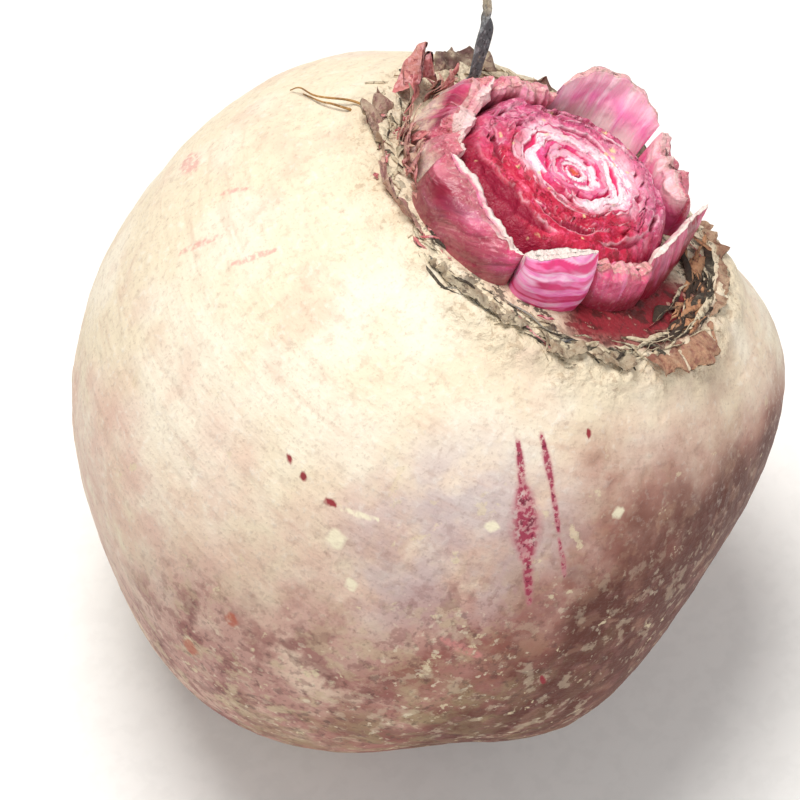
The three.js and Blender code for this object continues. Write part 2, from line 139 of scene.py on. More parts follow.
# Stubs of the older leaf stalks, in order round the heart. "foot" and "rim" are (around, distance
# to the axis) of both ends of the middle line, each with its outward bow; "thick" and "thin" are
# the wall at the foot and at both ends of the rim; "tall" is the height of both ends of the rim,
# raised by "arch" between them and uneven by "ragged"; "bulge" swells the outer side halfway up.
# "grain" is the direction of the fibres in degrees, from 0 up the stalk to 90 along its rim;
# "rough" is how far they stand apart; "shredded" is how much of the outer skin is torn open. The
# rest says how much of each colour shows: a pale "stripe" on each fibre, "plum" skin, "crimson"
# between the fibres and as painted shade low down, a "cream" inner edge, a dry "tan" end, a dry
# "husk" round the foot, a patch of painted shade, "dusk", near one end, and a white painted
# highlight, "glow", at the inner foot. "notches" are (place along the rim from -1 to 1, half width
# there, depth in mm). What isn't given is 0.
LEAF_STALKS = (
    dict(foot=((165, 19.6), (213, 19.3)), foot_bow=2.3, rim=((166, 19.6), (212, 20.9)),
         rim_bow=1.0, thick=6.0, thin=(6.2, 2.8), tall=(6.2, 5.3), ragged=0.5, bulge=0.4,
         grain=70, rough=0.8, shredded=0.25, stripe=0.15, plum=1.0, crimson=0.7, cream=1.0,
         tan=0.1, husk=0.1, shade_patch=0.7),
    dict(foot=((215.5, 18.8), (243, 15.9)), foot_bow=0.9, rim=((214.5, 21.8), (243.5, 14.7)),
         rim_bow=0.1, thick=5.4, thin=(2.6, 1.9), tall=(6.2, 6.7), ragged=0.15, bulge=1.0,
         grain=84, rough=0.5, stripe=1.0, crimson=0.2, cream=1.0),
    dict(foot=((246, 15.4), (281, 15.5)), foot_bow=0.8, rim=((246.5, 14.9), (281, 15.3)),
         rim_bow=0.75, thick=4.4, thin=(2.6, 3.4), tall=(5.0, 5.0), ragged=0.9, bulge=0.2,
         rough=1.0, shredded=0.5, stripe=0.1, plum=0.1, crimson=1.0, cream=0.2, tan=0.3),
    dict(foot=((284.5, 16.2), (336.5, 19.6)), rim=((284, 15.0), (337.5, 19.8)),
         thick=3.0, thin=(1.2, 1.2), tall=(6.0, 6.6), ragged=0.2, bulge=0.2,
         grain=10, rough=0.7, shredded=0.1, stripe=0.1, plum=0.4, crimson=1.0, cream=1.0, tan=0.1),
    dict(foot=((341, 18.2), (374.5, 19.8)), foot_bow=0.9, rim=((342, 17.6), (374, 20.2)),
         thick=5.0, thin=(5.2, 1.8), tall=(6.2, 6.8), ragged=1.0, bulge=0.3, grain=15, rough=1.3,
         shredded=0.9, stripe=0.1, crimson=0.25, cream=0.5, tan=0.1, notches=((0.1, 0.12, 1.4),)),
    dict(foot=((18.5, 19.8), (60, 17.6)), foot_bow=2.0, rim=((19, 21.5), (59, 17.0)),
         rim_bow=2.6, thick=3.6, thin=(1.3, 1.3), tall=(7.4, 7.4), arch=2.6, ragged=0.6,
         bulge=-0.4, rough=0.45, stripe=1.0, cream=0.35, tan=0.3, glow=0.75),
    dict(foot=((63, 16.9), (97, 17.4)), foot_bow=0.7, rim=((63, 15.7), (97, 16.1)),
         rim_bow=0.4, thick=5.0, thin=(2.8, 2.8), tall=(6.2, 6.3), ragged=1.0, bulge=0.2,
         grain=10, rough=1.5, shredded=0.8, stripe=0.3, plum=0.6, crimson=0.8, cream=0.2,
         tan=0.3, husk=0.6),
    dict(foot=((100, 18.6), (160, 19.0)), foot_bow=2.2, rim=((101, 17.0), (159, 16.9)),
         rim_bow=1.3, thick=5.2, thin=(4.2, 2.2), tall=(6.6, 6.0), ragged=1.2, bulge=0.3,
         grain=12, rough=1.8, shredded=1.0, stripe=0.35, plum=0.8, crimson=0.9, cream=0.7,
         tan=0.2, husk=0.9, notches=((0.5, 0.09, 2.4), (-0.3, 0.07, 1.8))),
)

# Dead leaf bases round the stalks, each between two angles "spread" to both sides of "around". Its
# edge is "tall" mm high, curls outward by "splay" degrees and is torn into "teeth", as deep as
# the share "torn" of its height. "shade" runs from pale straw to nearly black, "blush" is how
# much crimson is left, "warm" how much red-brown. What isn't given is 0.
DRY_LEAF_BASES = (
    dict(around=114, spread=8.5, splay=-4.0, tall=7.2, teeth=2, torn=0.75, blush=1.0),
    dict(around=139, spread=13, splay=1.5, tall=3.4, teeth=4, torn=0.6, shade=0.25, blush=0.2),
    dict(around=169, spread=16, splay=0.5, tall=3.6, teeth=3, torn=0.6, shade=0.05, blush=0.45),
    dict(around=208, spread=19, splay=2.5, tall=1.6, teeth=5, torn=0.6, shade=0.1),
    dict(around=246, spread=17, splay=2.0, tall=1.8, teeth=4, torn=0.6, shade=0.12, warm=0.15),
    dict(around=284, spread=19, polar=32.4, splay=4.0, tall=2.6, teeth=2, torn=0.3, shade=0.05,
         blush=0.1, warm=0.8),
    dict(around=329, spread=23, splay=1.0, tall=2.4, teeth=5, torn=0.5, shade=0.1, blush=0.05,
         warm=0.5),
    dict(around=30, spread=33, splay=0.5, tall=1.9, teeth=7, torn=0.4, shade=0.4, blush=0.1),
    dict(around=84, spread=15, splay=1.5, tall=2.4, teeth=4, torn=0.4, shade=0.5, blush=0.1),
)
DRY_BASE_POLAR = 32.2

# The withered stalk that hangs on: (around, distance to the axis, height over the seat, width,
# twist in degrees) of its bends.
WITHERED_STALK = (
    (86.0, 22.3, 0.6, 1.6, 0),
    (85.8, 22.8, 1.9, 2.4, 6),
    (85.3, 25.4, 6.6, 3.0, 18),
    (85.8, 27.2, 9.6, 2.6, 75),
    (86.8, 29.6, 12.6, 1.5, 40),
    (88.1, 32.8, 15.1, 1.3, 20),
    (88.9, 34.9, 16.1, 0.8, 10),
)

# Fine strands over the skin: (around, polar, lift off the skin) of their bends.
CROWN_FIBRES = (
    (
        (132.6, 35.3, 0.4), (130.6, 39.0, 1.1), (127.6, 43.8, 1.0), (124.2, 46.9, 1.2),
        (121.6, 49.6, 0.3),
    ),
    ((134.2, 37.2, 0.4), (131.6, 40.3, 0.9), (129.0, 42.8, 0.6), (123.9, 46.8, 0.2)),
)
ROOTLETS = (
    ((82, 171, 0.9), (76, 165, 1.8), (80, 158, 1.5), (73, 151, 0.9)),
    ((100, 170, 0.9), (96, 162, 1.6), (102, 153, 2.2), (95, 145, 1.0)),
    ((118, 171, 0.9), (110, 165, 1.5), (115, 159, 1.8), (107, 153, 0.9)),
    ((60, 171, 0.9), (53, 165, 1.4), (58, 159, 1.6), (51, 153, 0.9)),
    ((300, 171, 0.9), (306, 166, 1.2), (300, 161, 1.3), (307, 155, 0.9)),
)

# Marks in the skin: around and polar of one end, then of the other, and the half width in mm.
MARKS = {
    "graze": (
        (234, 50, 239.5, 57.9, 0.4), (239.0, 57.0, 244.9, 67.0, 1.35), (244, 65.5, 249.5, 75, 0.5),
        (238.5, 47.9, 244.5, 55.2, 0.38), (244.2, 54.8, 249, 62.0, 0.3),
        (249.6, 63.0, 254, 69.5, 0.26), (33, 66, 37, 71, 0.8),
    ),
    "speck": (
        (200, 71.9, 201, 72.5, 0.4), (203.8, 72.5, 204.6, 73.3, 0.5),
        (209.3, 73.8, 211.4, 73.2, 0.45), (249.1, 45.0, 249.7, 46.2, 0.35),
        (261, 90.6, 262.6, 92.2, 0.4), (56, 97, 57, 98.5, 0.8),
    ),
    "blush_line": (
        (155.8, 68.9, 158.5, 60.5, 0.45), (165.8, 60.4, 168.4, 53.0, 0.45),
        (131, 67.5, 137, 65.0, 1.6), (148, 60, 151, 54, 0.35), (239, 86, 247, 87.5, 0.7),
        (22, 84, 33, 88, 1.1), (62, 108, 68, 116, 1.2), (86, 74, 89, 84, 0.9),
    ),
    "rust": (
        (208.0, 105, 208.8, 107, 1.0), (204.0, 121, 204.8, 124, 1.3), (44, 112, 45, 115, 1.3),
        (96, 98, 97, 99.5, 1.1),
    ),
    "pale_mark": (
        (214, 77.5, 215.2, 78.8, 1.3), (220.4, 83.4, 221.4, 84.4, 0.9),
        (212.5, 73.2, 218.5, 71.4, 0.35), (235.4, 64.2, 237.2, 63.8, 0.7),
        (260.0, 57.9, 261.4, 57.2, 0.8), (27, 99, 28.5, 100, 1.3), (67, 73, 68, 74.5, 1.1),
        (106, 113, 107, 114, 1.3),
    ),
}

# Patches of skin by the way they face as the beetroot lies: that direction, how far the patch is
# widened, then height, cell size, seed and octaves of the noise in its edge. They are the side
# that lay in the soil, a painted shadow low at the right, a faint dusty blush far to the left,
# and a weaker weathering low at the back.
PATCHES = (
    ((0.16, -0.85, -0.49), -0.03, 0.15, 15, 31, 4),
    ((0.67, -0.63, -0.38), 0, 0.13, 11, 34, 5),
    ((-0.85, -0.5, 0.15), 0, 0.1, 11, 35, 4),
    ((0.34, 0.75, -0.57), 0, 0.16, 13, 37, 4),
)

# ---------------------------------------------------------------- numbers and shapes


def linear(code):
    """An sRGB hex colour as linear red, green and blue."""
    parts = np.array([int(code[i : i + 2], 16) for i in (1, 3, 5)]) / 255
    return tuple(np.where(parts <= 0.04045, parts / 12.92, ((parts + 0.055) / 1.055) ** 2.4))


def smooth(value, start, end):
    """0 below start and 1 above end, with a soft S between them."""
    t = np.clip((value - start) / (end - start), 0, 1)
    return t * t * (3 - 2 * t)


def largest(*values):
    """The largest of several values at each point."""
    return reduce(np.maximum, values)


def vectors(*parts):
    """Vectors from their parts, which may be of different shapes."""
    return np.stack(np.broadcast_arrays(*parts), -1)


def value_noise(points, cell, seed):
    """Smooth noise from -1 to 1: a random value at each corner of a lattice of that cell size,
    blended across each cell by a soft S along the three axes."""
    scaled = np.asarray(points, float) / cell
    low = np.floor(scaled).astype(np.int64)
    part = scaled - low
    part = part * part * (3 - 2 * part)
    total = np.zeros(part.shape[:-1])
    for corner in itertools.product((0, 1), repeat=3):
        weight = np.prod(np.where(np.array(corner) == 1, part, 1 - part), axis=-1)
        x, y, z = np.moveaxis(low + np.array(corner), -1, 0)
        mixed = (x * 73856093) ^ (y * 19349663) ^ (z * 83492791) ^ (seed * 668265263)
        mixed = (mixed ^ (mixed >> 13)) * 1274126177
        total += weight * (((mixed ^ (mixed >> 16)) & 0xFFFF) / 32767.5 - 1)
    return total


def rough_noise(points, cell, seed, octaves=3):
    """Noise with finer and weaker copies of itself on top: each one half as wide and high."""
    return sum(
        value_noise(points, cell / 2**level, seed + level) / 2**level for level in range(octaves)
    )


def waver(around, seed):
    """A slow wave round the crown between -1 and 1: three sines of the angle."""
    return (
        0.5 * np.sin(5 * around + 2.3 * seed)
        + 0.3 * np.sin(9 * around + 4.1 * seed)
        + 0.2 * np.sin(14 * around + 1.7 * seed)
    )


def cylindrical(radius, around, height):
    """Points from their distance to the axis, angle round it and height."""
    return vectors(radius * np.cos(around), radius * np.sin(around), height)


def toward(around, heading):
    """1 where the angle is that heading, given in degrees, falling as a cosine to -1 opposite."""
    return np.cos(around - math.radians(heading))


def direction(around, polar):
    """Unit vectors at these two angles."""
    return cylindrical(np.sin(polar), around, np.cos(polar))


def skin_radius(around, polar):
    """Distance from the middle of the root to its skin: a superellipse of other reach above and
    below the widest level, plus bell-shaped swellings, slow unevenness and the collar."""
    upward = np.cos(polar) > 0
    reach = np.where(upward, SHOULDER_HEIGHT, TAIL_DEPTH)
    fullness = np.where(upward, SHOULDER_FULLNESS, TAIL_FULLNESS)
    across = np.abs(np.sin(polar)) / BODY_RADIUS
    along = np.abs(np.cos(polar)) / reach
    radius = (across**fullness + along**fullness) ** (-1 / fullness)
    here = direction(around, polar)
    for swell_around, swell_polar, swell_reach, rise in SWELLINGS:
        centre = direction(np.radians(swell_around), np.radians(swell_polar))
        away = np.arccos(np.clip(here @ centre, -1, 1))
        radius = radius + rise * np.exp(-((away / np.radians(swell_reach)) ** 2))
    slow = 0.22 * np.sin(3 * around + 2 * np.sin(2 * polar)) + 0.16 * np.sin(5 * around - 4 * polar)
    tail_rings = 0.14 * np.sin(34 * polar) * np.maximum(0, -np.cos(polar)) ** 3
    from_collar = (polar - np.radians(COLLAR_POLAR)) / np.radians(COLLAR_WIDTH)
    collar = COLLAR_RISE * (0.7 + 0.3 * waver(around, 1)) * np.exp(-(from_collar**2))
    return radius + slow * np.sin(polar) + tail_rings + collar


def over_skin(around, polar, lift):
    """Points at a height above the skin."""
    radius = skin_radius(around, polar) + lift
    return direction(around, polar) * radius[..., None]


LEAN = Euler((0, math.radians(CROWN_LEAN), math.radians(LEAN_HEADING)), "XYZ")
LYING = np.array(LEAN.to_matrix())


def middle_of_root():
    """Where the middle of the root lies: its own box, laid down, set against the solid's box."""
    around, polar = np.meshgrid(np.linspace(0, 2 * np.pi, 181), np.linspace(0.6, 3.0, 121))
    lying = over_skin(around, polar, 0).reshape(-1, 3) @ LYING.T
    low, high = np.array(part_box("root")) / MM
    middle = (low + high - lying.min(0) - lying.max(0)) / 2
    middle[2] = high[2] - lying[:, 2].max()
    return middle


MIDDLE = middle_of_root()


def lay_down(points):
    """Points of the beet's frame, in mm, turned to how it lies, in metres."""
    return (points @ LYING.T + MIDDLE) * MM


def above_floor(points):
    """Points of the beet's frame, with those that would lie under the floor lifted onto it."""
    below = np.maximum(0, -lay_down(points)[:, 2] / MM)
    return points + below[:, None] * LYING[2]


def closed_rings(rings, top, bottom):
    """Vertices and faces of rings from the top down, closed by a fan at both ends."""
    rows, count = rings.shape[:2]
    points = np.concatenate([rings.reshape(-1, 3), [top, bottom]])
    ring, turn = np.ogrid[: rows - 1, :count]
    start, after = ring * count, (turn + 1) % count
    quads = vectors(start + turn, start + count + turn, start + count + after, start + after)
    turn, after = turn[0], after[0]
    last = (rows - 1) * count
    upper = vectors(rows * count, turn, after)
    lower = vectors(rows * count + 1, last + after, last + turn)
    return points, quads.reshape(-1, 4).tolist() + upper.tolist() + lower.tolist()


def closed_loops(loops):
    """Vertices and faces of many tubes at once: loops has the shape (tube, row, corner, 3), the
    corners go counter-clockwise seen from the tube's last row, and both ends are closed."""
    tubes, rows, corners = loops.shape[:3]
    tube, row, corner = np.ogrid[:tubes, : rows - 1, :corners]
    start = (tube * rows + row) * corners
    here, after = start + corner, start + (corner + 1) % corners
    quads = vectors(here, after, after + corners, here + corners)
    first = (np.arange(tubes) * rows * corners)[:, None]
    low_ends = first + np.arange(corners)[::-1]
    high_ends = first + (rows - 1) * corners + np.arange(corners)
    faces = quads.reshape(-1, 4).tolist() + low_ends.tolist() + high_ends.tolist()
    return loops.reshape(-1, 3), faces


def add_object(name, data):
    """Adds an object with this mesh, light or camera to the scene."""
    added = bpy.data.objects.new(name, data)
    bpy.context.scene.collection.objects.link(added)
    return added


def make_piece(name, shape, finish, nodes=(), attributes=None):
    """One smooth mesh piece of the beetroot from its points in the beet's frame and its faces."""
    points, faces = shape
    mesh = bpy.data.meshes.new(name)
    mesh.from_pydata(lay_down(points), [], faces)
    mesh.shade_smooth()
    mesh.materials.append(finish)
    for label, values in (attributes or {}).items():
        flat = np.ravel(values).astype(np.float32)
        vector = flat.size == 3 * len(points)
        layer = mesh.attributes.new(label, "FLOAT_VECTOR" if vector else "FLOAT", "POINT")
        layer.data.foreach_set("vector" if vector else "value", flat)
    piece = add_object(name, mesh)
    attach(piece, "root")
    if nodes:
        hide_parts(*nodes)
    return piece


# ---------------------------------------------------------------- settings


def colour_setting(name, description, code):
    """A colour that the user can change, from its hex value."""
    return FloatVectorProperty(
        name=name, description=description, subtype="COLOR", default=linear(code)
    )


class BEETROOT_PG_skin(bpy.types.PropertyGroup):
    """Colours of the root's skin."""

    cream: colour_setting("Cream", "Skin of the shoulder", "#E9DABF")
    mauve: colour_setting("Mauve", "Weathered lower side", "#B5837A")
    soil: colour_setting("Soil", "Dried soil in the skin", "#9A8462")
    graze: colour_setting("Graze", "Crimson under the skin", "#992B48")


class BEETROOT_PG_crown(bpy.types.PropertyGroup):
    """Colours of the cut crown and its dead leaf bases."""

    flesh: colour_setting("Flesh", "Palest flesh of the cut stalks", "#FBE6EB")
    magenta: colour_setting("Magenta", "Sap-rich flesh", "#E0417C")
    crimson: colour_setting("Crimson", "Bundles and deep creases", "#8A1030")
    plum: colour_setting("Plum", "Skin of the older stalks", "#9C384C")
    straw: colour_setting("Straw", "Palest dead leaf bases", "#E0D0B2")


class BEETROOT_PG_trim(bpy.types.PropertyGroup):
    """Small dry things on the beetroot."""

    shreds: IntProperty(name="Shreds", description="Papery shreds round the crown", default=330)
    stalk_shreds: IntProperty(
        name="Stalk shreds", description="Torn skin outside the stalks", default=80
    )
    hairs: IntProperty(name="Hairs", description="Fine hair roots at the tail", default=34)
    strand: FloatProperty(
        name="Strand", description="Radius of a fine strand", unit="LENGTH", default=0.00022
    )


class BEETROOT_PG_stage(bpy.types.PropertyGroup):
    """Floor, lights and camera."""

    floor: colour_setting("Floor", "Pale paper floor", "#F7F5F2")
    key: FloatProperty(name="Key light", description="Large soft light", unit="POWER", default=8.6)
    fill: FloatProperty(name="Fill light", description="Low side light", unit="POWER", default=2.2)
    elevation: FloatProperty(
        name="Camera elevation",
        description="Above the horizon",
        unit="ROTATION",
        default=math.radians(60),
    )
    distance: FloatProperty(
        name="Camera distance", description="From the middle", unit="LENGTH", default=0.733
    )


# ---------------------------------------------------------------- materials


def put(tree, kind, inputs=None, **settings):
    """Adds one shader node, sets its fields and fills its sockets with values or links."""
    node = tree.nodes.new("ShaderNode" + kind)
    for field, value in settings.items():
        setattr(node, field, value)
    for socket, value in (inputs or {}).items():
        if isinstance(value, bpy.types.NodeSocket):
            tree.links.new(value, node.inputs[socket])
        else:
            node.inputs[socket].default_value = value
    return node


def opaque(colour):
    """A hex value, or the colour of a setting, with full alpha."""
    return (*(linear(colour) if isinstance(colour, str) else tuple(colour)), 1.0)


def grown_place(tree):
    """The beet's own coordinates in mm, at the surface."""
    place = put(tree, "TexCoord").outputs["Object"]
    inputs = {"Vector": place, "Location": MIDDLE * MM, "Rotation": LEAN, "Scale": (MM, MM, MM)}
    return put(tree, "Mapping", inputs, vector_type="TEXTURE").outputs[0]


# Masks that are a mesh attribute cut off between two values: attribute, from, to. The stain
# round a graze fades out further than the graze itself.
CUT_OFF = {name: (name, 0.3, 0.65) for name in MARKS} | {"stain": ("graze", 0.05, 0.6)}


def layered_finish(name, roughness, ior, base, layers, bumps=(), **shader_values):
    """A material of layers of noise over a base colour. A layer is (colour, size in mm, detail,
    from, to, strength, mask, place): noise of that size between from and to. A bump is (size in
    mm, detail, depth in mm, mask, place). The mask is a mesh attribute that a layer or bump is
    multiplied by. The place is "grown", the beet's own coordinates, "ringed", the same drawn
    out round the axis, or "grain", those along the fibres; mask and place may be left out."""
    material = bpy.data.materials.new(name)
    material.use_nodes = True
    tree = material.node_tree
    shader = tree.nodes["Principled BSDF"]
    for socket, value in {"Roughness": roughness, "IOR": ior, **shader_values}.items():
        shader.inputs[socket].default_value = value
    grown = grown_place(tree)
    gates = {}

    def share(size, detail, reach=None, mask=None, place="grown"):
        """Noise of that size, cut off between the two values of its reach and then as high as
        the third, times the mask."""
        where = grown
        if place == "ringed":
            squeezed = {0: grown, 1: (RINGED, RINGED, 1.0)}
            where = put(tree, "VectorMath", squeezed, operation="MULTIPLY").outputs[0]
        elif place == "grain":
            where = put(tree, "Attribute", attribute_name="grain").outputs["Vector"]
        inputs = {"Vector": where, "Scale": 1 / size, "Detail": detail, "Roughness": 0.6}
        value = put(tree, "TexNoise", inputs).outputs[0]
        if reach:
            inputs = {"Value": value, "From Min": reach[0], "From Max": reach[1]}
            inputs["To Max"] = reach[2]
            value = put(tree, "MapRange", inputs, interpolation_type="SMOOTHSTEP").outputs[0]
        if mask is None:
            return value
        if mask not in gates:
            field, *ends = CUT_OFF.get(mask, (mask,))
            gates[mask] = put(tree, "Attribute", attribute_name=field).outputs["Fac"]
            if ends:
                inputs = {"Value": gates[mask], "From Min": ends[0], "From Max": ends[1]}
                gates[mask] = put(tree, "MapRange", inputs).outputs[0]
        return put(tree, "Math", {0: value, 1: gates[mask]}, operation="MULTIPLY").outputs[0]

    # In a mix of colours, inputs 6 and 7 and output 2 are the colours.
    painted = opaque(base)
    for colour, size, detail, low, high, strength, *rest in layers:
        covered = share(size, detail, (low, high, strength), *rest)
        inputs = {0: covered, 6: painted, 7: opaque(colour)}
        painted = put(tree, "Mix", inputs, data_type="RGBA").outputs[2]
    tree.links.new(painted, shader.inputs["Base Color"])
    for size, detail, depth, *rest in bumps:
        height = share(size, detail, None, *rest)
        bump = put(tree, "Bump", {"Height": height, "Distance": depth * MM})
        if shader.inputs["Normal"].is_linked:
            tree.links.new(shader.inputs["Normal"].links[0].from_socket, bump.inputs["Normal"])
        tree.links.new(bump.outputs[0], shader.inputs["Normal"])
    return material


# How far light of each colour goes under the surface of wet flesh, in metres.
FLESH_DEPTH = (0.003, 0.001, 0.001)


def corky_skin(skin):
    """Fresh beetroot skin: a thin, dull cork layer, grown and scuffed in soil. That gives a
    finely grained cream shoulder, a mauve lower side with dusty flecks, faint rings round the
    axis, and a broad weak gloss."""
    layers = (
        ("#F2E8D5", 17, 2, 0.42, 0.6, 0.7),
        ("#D9B7A4", 11, 4, 0.5, 0.66, 0.4),
        ("#D9AFA0", 6, 5, 0.25, 0.6, 0.75, "blushed"),
        ("#C9BABA", 8, 5, 0.32, 0.58, 0.8, "lilac"),
        ("#C39A86", 1.6, 3, 0.54, 0.72, 0.25, None, "ringed"),
        (skin.mauve, 9, 6, 0.28, 0.52, 0.95, "mauve"),
        ("#8A4F4B", 6.5, 6, 0.48, 0.6, 0.85, "mauve"),
        ("#C9B394", 4.6, 6, 0.52, 0.6, 0.8, "mauve"),
        # Painted shadow low at the right, in mottled browns, in this and the next two layers.
        ("#96584A", 7, 6, 0.2, 0.5, 0.75, "bruise"),
        ("#55251A", 6, 6, 0.2, 0.5, 0.92, "deep_bruise"),
        ("#A9806A", 4, 6, 0.53, 0.62, 0.6, "bruise"),
        (skin.soil, 4.8, 7, 0.44, 0.56, 0.9, "dusty"),
        ("#E4D6BC", 1.5, 7, 0.6, 0.66, 0.7, "mauve"),
        # More painted shadow where it is deepest, over the pale flecks.
        ("#5A2B1F", 5, 5, 0.3, 0.5, 0.5, "deep_bruise"),
        ("#DCCBA9", 3.4, 6, 0.64, 0.67, 0.8, "blushed"),
        ("#8E6A5C", 1.3, 5, 0.52, 0.68, 0.18),
        ("#7D5F54", 0.5, 3, 0.54, 0.68, 0.22),
        ("#7E4E48", 2.6, 7, 0.54, 0.59, 0.5, "mauve"),
        ("#D6C5AA", 2.7, 7, 0.55, 0.62, 0.36, "mauve"),
        ("#4E2E2B", 1.2, 5, 0.54, 0.66, 0.5, "mauve"),
        # Painted glints: small near-white flecks on the upper side of the skin.
        ("#FFF9EC", 1.0, 4, 0.54, 0.68, 0.3, "clean"),
        ("#E6D5B8", 2.2, 4, 0.3, 0.55, 0.8, "cork"),
        ("#AE9072", 1.0, 4, 0.53, 0.63, 0.5, "cork"),
        ("#2E2019", 1.6, 6, 0.54, 0.58, 0.9, "shadow"),
        # Bare crimson flesh on the seat and at the broken tail; its deep maroon is partly painted
        # shade, for the hollow it lies in.
        ("#8A2730", 3.0, 3, 0.1, 0.35, 1.0, "flesh"),
        ("#54201F", 2.4, 5, 0.48, 0.58, 0.9, "flesh"),
        ("#C9A08C", 1.2, 5, 0.64, 0.67, 0.8, "flesh"),
        ("#D98C88", 0.8, 3, 0.35, 0.6, 0.6, "blush_line"),
        ("#B5583E", 1.0, 3, 0.2, 0.5, 0.75, "rust"),
        ("#EFE6C8", 0.9, 3, 0.15, 0.5, 0.85, "pale_mark"),
        ("#BE7880", 1.6, 5, 0.25, 0.55, 0.85, "stain"),
        (skin.graze, 0.8, 6, 0.45, 0.55, 0.9, "graze"),
        ("#6E1530", 0.9, 5, 0.56, 0.62, 0.8, "graze"),
        ("#8E1A2C", 1.0, 2, 0.1, 0.3, 0.95, "speck"),
    )
    bumps = ((0.9, 3, 0.10, None, "ringed"), (1.0, 4, 0.16), (1.4, 5, 0.7, "cork"))
    gloss = {"Specular IOR Level": 0.3}
    return layered_finish("corky_beet_skin", 0.56, 1.42, skin.cream, layers, bumps, **gloss)


def cut_heart_flesh(crown):
    """Young leaf stalks cut flush: wet, watery flesh, white between the bundles and crimson
    where the sap ran. That gives a bright pink face with a broken, fairly sharp gloss."""
    layers = (
        ("#F47FB4", 1.2, 4, 0.48, 0.62, 0.7),
        ("#CE6487", 1.4, 4, 0.2, 0.5, 0.95, "rim"),
        # Pale pink painted highlights on the rough rim.
        ("#F2A9BE", 0.9, 5, 0.5, 0.6, 0.85, "rim"),
        ("#9A2A4C", 1.1, 5, 0.54, 0.62, 0.8, "rim"),
        ("#C41E40", 1.4, 4, 0.15, 0.45, 0.95, "red"),
        ("#EA5A80", 1.2, 5, 0.52, 0.62, 0.65, "red"),
        ("#94102A", 1.5, 5, 0.53, 0.61, 0.85, "red"),
        (crown.flesh, 1.2, 4, 0.1, 0.42, 1.0, "pale"),
        ("#EE5FA0", 1.3, 6, 0.54, 0.62, 0.6, "pale"),
        ("#DE2A66", 1.0, 3, 0.1, 0.42, 0.95, "vein"),
        (crown.crimson, 1.0, 3, 0.1, 0.42, 0.95, "line"),
        ("#EFD9A0", 0.8, 2, 0.1, 0.4, 0.9, "tan"),
        ("#E0603F", 0.5, 2, 0.3, 0.55, 0.95, "bud"),
    )
    bumps = ((0.5, 3, 0.25), (1.2, 4, 0.6, "rim"))
    glow = {"Subsurface Weight": 0.1, "Subsurface Radius": FLESH_DEPTH}
    return layered_finish("cut_beet_heart", 0.36, 1.4, crown.magenta, layers, bumps, **glow)


def stalk_flesh(crown):
    """Stub of a leaf stalk: smooth waxy skin over watery ribs, torn and dried at the cut. That
    gives glossy plum and pink sides with paler fibres, and a dull, spongy end."""
    layers = (
        ("#C4245E", 1.5, 4, 0.46, 0.64, 0.55, None, "grain"),
        ("#F58FC2", 0.9, 3, 0.52, 0.64, 0.7, None, "grain"),
        (crown.plum, 3.2, 4, 0.2, 0.5, 0.9, "plum"),
        # Pale pink painted highlights in streaks along the fibres of the plum skin.
        ("#F0A6B4", 1.3, 5, 0.53, 0.61, 0.75, "plum", "grain"),
        ("#661028", 2.0, 5, 0.46, 0.56, 0.9, "plum", "grain"),
        ("#FC80C2", 0.8, 2, 0.05, 0.35, 1.0, "pale", "grain"),
        ("#FDD9EA", 1.6, 5, 0.46, 0.6, 0.85, "pale", "grain"),
        ("#84102A", 1.1, 3, 0.1, 0.4, 1.0, "crimson", "grain"),
        ("#E68894", 0.8, 4, 0.25, 0.5, 0.9, "cut"),
        ("#FBE2DA", 0.45, 3, 0.55, 0.65, 0.8, "cut"),
        ("#A82046", 0.9, 5, 0.54, 0.61, 0.85, "cut"),
        ("#DDBD9A", 0.9, 5, 0.4, 0.55, 0.9, "tan"),
        ("#6B3427", 0.9, 5, 0.58, 0.65, 0.8, "tan"),
        ("#FBEBE2", 1.5, 5, 0.22, 0.5, 0.95, "cream", "grain"),
    )
    bumps = ((0.5, 3, 0.16, None, "grain"), (0.6, 4, 0.6, "cut"))
    glow = {"Subsurface Weight": 0.08, "Subsurface Radius": FLESH_DEPTH}
    return layered_finish("beet_leaf_stalk", 0.3, 1.42, crown.magenta, layers, bumps, **glow)


def papery_leaf(crown):
    """Dead leaf base: dried, cellulose-rich tissue that went brown and split into fibres. That
    gives a dull straw to nearly black sheet, with some crimson left inside."""
    layers = (
        ("#B99A76", 1.2, 4, 0.46, 0.64, 0.55),
        ("#4A3629", 0.9, 6, 0.54, 0.61, 0.7),
        ("#C68A60", 1.6, 4, 0.1, 0.45, 0.9, "warm"),
        ("#7E4534", 1.2, 5, 0.5, 0.62, 0.8, "warm"),
        ("#30241C", 1.2, 4, 0.1, 0.5, 0.95, "shade"),
        ("#CF5468", 1.2, 3, 0.15, 0.45, 0.95, "blush"),
        ("#F6C0BF", 0.9, 4, 0.5, 0.6, 0.8, "blush"),
        ("#96203E", 0.8, 4, 0.55, 0.64, 0.8, "blush"),
        ("#5D6168", 1.5, 3, 0.1, 0.4, 0.95, "ashen"),
        ("#A9ABAE", 0.9, 4, 0.5, 0.62, 0.8, "ashen"),
        ("#2D2B2C", 0.8, 4, 0.55, 0.65, 0.8, "ashen"),
    )
    return layered_finish("dry_leaf_base", 0.8, 1.5, crown.straw, layers, ((0.7, 6, 0.55),))


def dry_strand():
    """Fine side root or leaf fibre: a bare, dried bundle of cork and wood. That gives a dull
    golden brown thread."""
    layers = (
        ("#6E4A26", 1.5, 4, 0.45, 0.65, 0.8),
        ("#D6B27C", 0.8, 3, 0.55, 0.7, 0.6),
    )
    return layered_finish("dry_root_hair", 0.7, 1.5, "#B08248", layers, ((0.3, 2, 0.05),))


def paper_floor(stage):
    """Seamless backdrop paper: matt, nearly white, with a very faint tooth."""
    layers = (("#F1EFEC", 3.0, 3, 0.45, 0.6, 0.5),)
    return layered_finish("backdrop_paper", 0.9, 1.45, stage.floor, layers)


# ---------------------------------------------------------------- pieces


